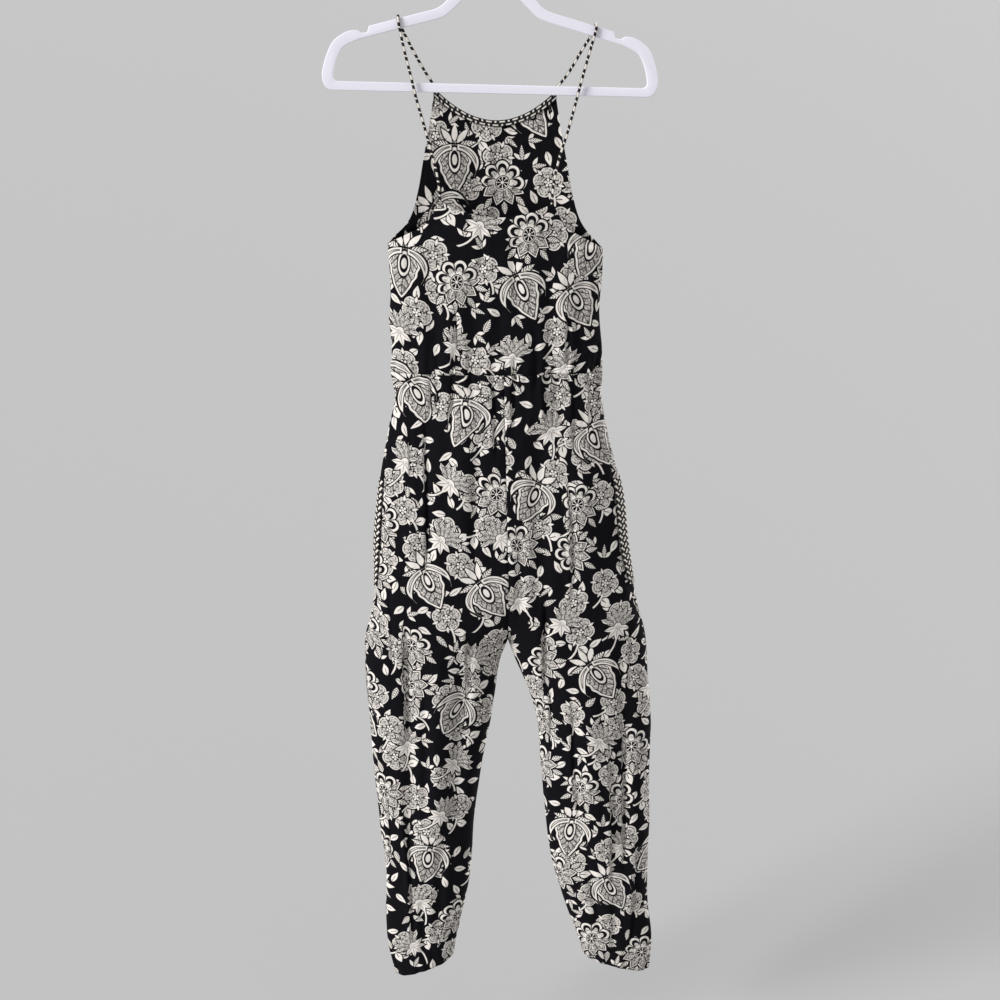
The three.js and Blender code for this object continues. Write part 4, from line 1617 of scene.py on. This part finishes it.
@dataclass
class Strap:
    """A thin braid strap, from inside the back's top edge over the hanger's arm to the front's corner."""

    name: str
    near: tuple[tuple[float, float], ...]
    over: tuple[float, float]
    far: tuple[tuple[float, float], ...]
    radius: float = 1.85
    at_arm: float = 5.2
    at_back: float = 11.2
    at_front: float = 8.3
    loop_out: float = 4.9
    loop_lift: float = 2.7
    strand_pitch: float = 8.5
    spacing: float = 0.8
    sides: int = 12
    tilt: float = math.radians(1.6)
    arm_z: float = -123.5
    arm_start: float = 64.0
    arm_slope: float = 0.27

    def arm_top(self, x: float) -> float:
        """Height of the arm's upper edge.

        Args:
            x: Across, in millimetres.

        Returns:
            The height.
        """
        along = abs(x - self.arm_z * math.tan(self.tilt))
        return self.arm_z - (along - self.arm_start) * self.arm_slope - x * math.tan(self.tilt)

    def points(self) -> list[Point]:
        """Work out the strap's middle line.

        Returns:
            Its points, in millimetres, from the back's top to the front's corner.
        """
        form = JumpsuitForm()
        share = np.array(0.0 if self.over[0] < 0 else 1.0)
        corners = {}
        for side in Side:
            x, _, z = form.upper(side, share, np.array(1.0), 0.0)
            corners[side] = (float(x), float(form.lean(x, z)))
        inset = -math.copysign(self.radius, self.over[0])
        line = [(corners[Side.BACK][0] + inset, -self.at_back, corners[Side.BACK][1] - 7.0)]
        for x, z in self.near:
            down = (self.over[1] - z) / (self.over[1] - corners[Side.BACK][1])
            line.append((x, -(self.at_arm + (self.at_back - self.at_arm) * down), z))
        top = self.arm_top(self.over[0])
        for across, up in ARM_LOOP:
            line.append((self.over[0], across * self.loop_out, top + up * self.loop_lift))
        for x, z in self.far:
            down = (self.over[1] - z) / (self.over[1] - corners[Side.FRONT][1])
            line.append((x, self.at_arm + (self.at_front - self.at_arm) * down, z))
        line.append((corners[Side.FRONT][0] + inset, self.at_front, corners[Side.FRONT][1] + 0.6))
        return line

    def build(self, material: bpy.types.Material) -> bpy.types.Object:
        """Make the strap as a braided cord.

        Args:
            material: Its material.

        Returns:
            The piece.
        """
        def radius(along: float, angle: float) -> float:
            """Strands stand proud in two crossing turns.

            Args:
                along: Distance along the strap.
                angle: Angle round it.

            Returns:
                The radius there.
            """
            first = math.sin(TURN * along / self.strand_pitch + angle)
            second = math.sin(TURN * along / self.strand_pitch - angle)
            return self.radius * (0.93 + 0.07 * max(first, second))

        path = smooth_path(self.points(), self.spacing)
        obj = tube_object(f"{self.name}_braid", path, radius, self.sides, material)
        dress(obj, "braid", self.name)
        LOG.info("%s: %.0f mm long", self.name, run_along(path)[-1])
        return obj


STRAPS = (
    Strap("strap_left", ((-73, -328), (-81, -294), (-89, -263), (-98, -231), (-105, -201), (-112.5, -170)),
          (-119, -137), ((-104, -168), (-86, -200))),
    Strap("strap_right", ((73.5, -333), (80, -303), (89, -276), (98, -244), (106, -214), (114, -185)),
          (125, -144), ((109, -172), (90, -203))),
)


@dataclass
class NeckBraid:
    """The braid along the neckline: two raised rows of dashes and beads."""

    height: float = 8.0
    thickness: float = 3.0
    columns: int = 190
    around: int = 28

    def build(self, material: bpy.types.Material) -> bpy.types.Object:
        """Make the braid as a closed loft.

        Args:
            material: Its material.

        Returns:
            The piece.
        """
        form = JumpsuitForm()
        s = np.linspace(0, 1, self.columns + 1)
        low = form.upper(Side.FRONT, s, np.ones_like(s), self.height)
        high = form.upper(Side.FRONT, s, np.ones_like(s), 0.0)
        low_z, high_z = form.lean(low[0], low[2]), form.lean(high[0], high[2])
        run = run_along(np.stack([high[0], high[2]], axis=1))
        turn = TURN * np.arange(self.around) / self.around
        up = 0.5 - 0.5 * np.cos(turn)
        lobes = np.abs(np.sin(turn)) ** 0.45 * (0.78 + 0.22 * np.abs(np.sin(TURN * up)))
        across = -np.sign(np.sin(turn)) * lobes * self.thickness / 2
        loops = np.empty((len(s), self.around, 3))
        loops[:, :, 0] = low[0][:, None]
        loops[:, :, 1] = low[1][:, None] - 0.7 + across[None, :]
        loops[:, :, 2] = low_z[:, None] + (high_z - low_z)[:, None] * up[None, :]
        obj = loft_object("neck_braid", loops, np.append(up, 0.0) * 7.8, run, material)
        dress(obj, "braid", "neck_trim")
        return obj


@dataclass
class PocketBraid:
    """The wide basket braid along one pocket's mouth, on the front panel beside the side seam."""

    leg: Leg
    width: float = 17.0
    print_width: float = 17.4
    shell: float = 1.1
    lift: float = 1.1
    cord_height: float = 0.45
    cords: int = 6
    top_z: float = -723.0
    bottom_z: float = -872.0
    columns: int = 24
    rows: int = 150
    search_columns: int = 240

    def build(self, material: bpy.types.Material) -> bpy.types.Object:
        """Make the braid from the panel's own points, moved out.

        Args:
            material: Its material.

        Returns:
            The piece.
        """
        form = JumpsuitForm()
        levels = np.linspace(self.top_z, self.bottom_z, self.rows + 1)[:, None]
        fine = np.linspace(0, 0.5, self.search_columns)[None, :]
        x, y, z = form.trouser(Side.FRONT, self.leg, fine, levels)
        run = np.concatenate([np.zeros((len(levels), 1)),
                              np.cumsum(np.hypot(np.diff(x, axis=1), np.diff(y, axis=1)), axis=1)], axis=1)
        wanted = np.linspace(0, self.width, self.columns + 1)
        s = np.array([np.interp(wanted, row, fine[0]) for row in run])
        x, y, z = form.trouser(Side.FRONT, self.leg, s, np.broadcast_to(levels, s.shape))
        points = np.stack([x, y, form.lean(x, z)], axis=2)
        turn = 1 if self.leg is Leg.RIGHT else -1
        share = wanted[None, :] / self.width
        cords = np.abs(np.sin(math.pi * share * self.cords)) ** 0.5
        points = points + grid_normals(points, turn) * (self.lift + self.cord_height * cords)[:, :, None]
        across = np.broadcast_to(wanted * self.print_width / self.width, s.shape)
        uv = np.stack([across, np.broadcast_to(levels, s.shape)], axis=2) * MM
        obj = grid_object(f"pocket_braid_{self.leg.value}", points * MM, uv, turn > 0, material)
        thicken(obj, self.shell)
        dress(obj, "braid", f"pocket_trim_{self.leg.value}")
        return obj


# Hanger


@dataclass
class Hanger:
    """The moulded frame and its wire hook."""

    wire: float = 1.7
    tip_round: float = 0.8
    hook_radius: float = 22.0
    neck_radius: float = 12.0
    neck_x: float = -1.5
    neck_top_z: float = -61.7
    end_angle: float = math.radians(196)

    def build_frame(self, material: bpy.types.Material) -> bpy.types.Object:
        """Copy the frame's solid, merge it and round its edges.

        Args:
            material: Its material.

        Returns:
            The piece.
        """
        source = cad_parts["hanger_frame"]
        deselect_all()
        obj = bpy.data.objects.new("hanger_moulding", source.data.copy())
        bpy.context.scene.collection.objects.link(obj)
        bpy.context.view_layer.objects.active = obj
        obj.select_set(True)
        bpy.ops.object.mode_set(mode="EDIT")
        bpy.ops.mesh.select_all(action="SELECT")
        bpy.ops.mesh.remove_doubles(threshold=MERGE_DISTANCE)
        bpy.ops.mesh.select_all(action="SELECT")
        bpy.ops.mesh.dissolve_limited(angle_limit=math.radians(1.0))
        bpy.ops.object.mode_set(mode="OBJECT")
        bevel = obj.modifiers.new("soft edges", "BEVEL")
        bevel.width = 0.45 * MM
        bevel.segments = 3
        bevel.angle_limit = math.radians(28)
        bpy.ops.object.modifier_apply(modifier=bevel.name)
        bpy.ops.object.shade_smooth_by_angle(angle=math.radians(32))
        obj.data.materials.clear()
        obj.data.materials.append(material)
        deselect_all()
        dress(obj, "hanger_plastic", "hanger_frame")
        return obj

    def build_hook(self, material: bpy.types.Material) -> bpy.types.Object:
        """Extrude and spin a wire section along the hook.

        Args:
            material: Its material.

        Returns:
            The piece.
        """
        deselect_all()
        centre_z = self.wire - self.hook_radius
        bend_x = self.neck_x + self.neck_radius
        bend_z = centre_z - math.sqrt((self.hook_radius + self.neck_radius) ** 2 - bend_x ** 2)
        meeting = math.atan2(bend_z - centre_z, bend_x)
        bpy.ops.mesh.primitive_circle_add(vertices=24, radius=self.wire * MM, fill_type="NGON",
                                          location=(self.neck_x * MM, 0, self.neck_top_z * MM))
        obj = bpy.context.object
        obj.name = "hook_wire"
        bpy.ops.object.transform_apply(location=True, rotation=True, scale=True)
        bpy.ops.object.mode_set(mode="EDIT")
        bpy.ops.mesh.select_mode(type="FACE")
        bpy.ops.mesh.select_all(action="SELECT")
        bpy.ops.mesh.extrude_region_move(
            TRANSFORM_OT_translate={"value": (0, 0, (bend_z - self.neck_top_z) * MM)})
        bpy.ops.mesh.spin(steps=14, angle=meeting, center=(bend_x * MM, 0, bend_z * MM), axis=(0, 1, 0))
        bpy.ops.mesh.spin(steps=52, angle=self.end_angle - meeting, center=(0, 0, centre_z * MM), axis=(0, 1, 0))
        bpy.ops.mesh.bevel(offset=self.tip_round * MM, segments=3, affect="EDGES")
        bpy.ops.mesh.select_all(action="SELECT")
        bpy.ops.mesh.remove_doubles(threshold=MERGE_DISTANCE)
        bpy.ops.mesh.select_all(action="SELECT")
        bpy.ops.mesh.normals_make_consistent(inside=False)
        bpy.ops.object.mode_set(mode="OBJECT")
        bpy.ops.object.shade_smooth_by_angle(angle=math.radians(40))
        obj.data.materials.append(material)
        deselect_all()
        dress(obj, "hook_wire", "hanger_hook")
        return obj


# Studio


@dataclass
class Studio:
    """Floor, lights and camera."""

    floor_z: float = -1.62
    camera_at: Point = (-0.057, -2.148, -0.097)
    pitch: float = math.radians(17.02)
    yaw: float = math.radians(1.63)
    roll: float = 0.0038
    lens: float = 60.4

    def floor(self) -> None:
        """A plain pale floor."""
        bpy.ops.mesh.primitive_plane_add(size=1400, location=(0, 0, self.floor_z))
        floor = bpy.context.object
        floor.name = "floor"
        bpy.ops.object.transform_apply(location=True, rotation=True, scale=True)
        floor.data.materials.append(Plain("pale floor", (0.425, 0.424, 0.424, 1), 0.9).build())

    def light(self, name: str, from_way: Sequence[float], strength: float) -> None:
        """One soft distant light.

        Args:
            name: The light's name.
            from_way: The direction that it shines from.
            strength: Its strength.
        """
        data = bpy.data.lights.new(name, "SUN")
        data.energy = strength
        data.angle = math.radians(24)
        lamp = bpy.data.objects.new(name, data)
        bpy.context.scene.collection.objects.link(lamp)
        lamp.matrix_world = Vector(from_way).to_track_quat("Z", "Y").to_matrix().to_4x4()

    def camera(self) -> None:
        """The camera at the photograph's place and angle."""
        forward = Vector((math.sin(self.yaw) * math.cos(self.pitch), math.cos(self.yaw) * math.cos(self.pitch),
                          -math.sin(self.pitch)))
        right = Vector((math.cos(self.yaw), -math.sin(self.yaw), -self.roll)).normalized()
        up = right.cross(forward).normalized()
        right = forward.cross(up).normalized()
        data = bpy.data.cameras.new("camera")
        data.lens = self.lens
        data.sensor_width = 36.0
        data.clip_end = 1200.0
        camera = bpy.data.objects.new("camera", data)
        bpy.context.scene.collection.objects.link(camera)
        turn = Matrix((right, up, -forward)).transposed().to_4x4()
        camera.matrix_world = Matrix.Translation(self.camera_at) @ turn
        bpy.context.scene.camera = camera

    def build(self) -> None:
        """Set the stage."""
        deselect_all()
        self.floor()
        self.light("key", (-1.0, -0.55, 0.5), 3.0)
        self.light("back key", (1.0, 0.55, 0.5), 2.6)
        world = bpy.data.worlds.new("studio")
        bpy.context.scene.world = world
        world.use_nodes = True
        sky = world.node_tree.nodes["Background"]
        sky.inputs[0].default_value = (0.985, 0.99, 1, 1)
        sky.inputs[1].default_value = 0.54
        bpy.context.scene.view_settings.view_transform = "Standard"
        self.camera()


def main() -> None:
    """Build every piece in order."""
    logging.basicConfig(level=logging.INFO)
    thread = Plain("black thread", (0.02, 0.02, 0.024, 1), 0.6).build()
    Cloth().build(FloralPrint().build(), thread)
    LOG.info("cloth built")
    rope = Braid(Weave.ROPE, row=CORD_GIRTH / 2, pitch=17.5, twist=0.7, dash=3.0, bead=1.0, thread=0.82)
    rows = Braid(Weave.ROWS, row=3.9, pitch=16.8, dash=3.5, bead=1.1, thread=0.78)
    basket = Braid(Weave.BASKET, row=5.8, pitch=8.6)
    rope_material = rope.build()
    for strap in STRAPS:
        strap.build(rope_material)
    NeckBraid().build(rows.build())
    basket_material = basket.build()
    for leg in Leg:
        PocketBraid(leg).build(basket_material)
    LOG.info("braids built")
    hanger = Hanger()
    hanger.build_frame(Plain("hanger plastic", (0.8, 0.79, 0.87, 1), 0.5, grain=0.08).build())
    hanger.build_hook(Plain("hook chrome", (0.78, 0.79, 0.8, 1), 0.3, metallic=1.0, grain=0.04).build())
    LOG.info("hanger built")
    Studio().build()


if __name__ == "__main__":
    main()
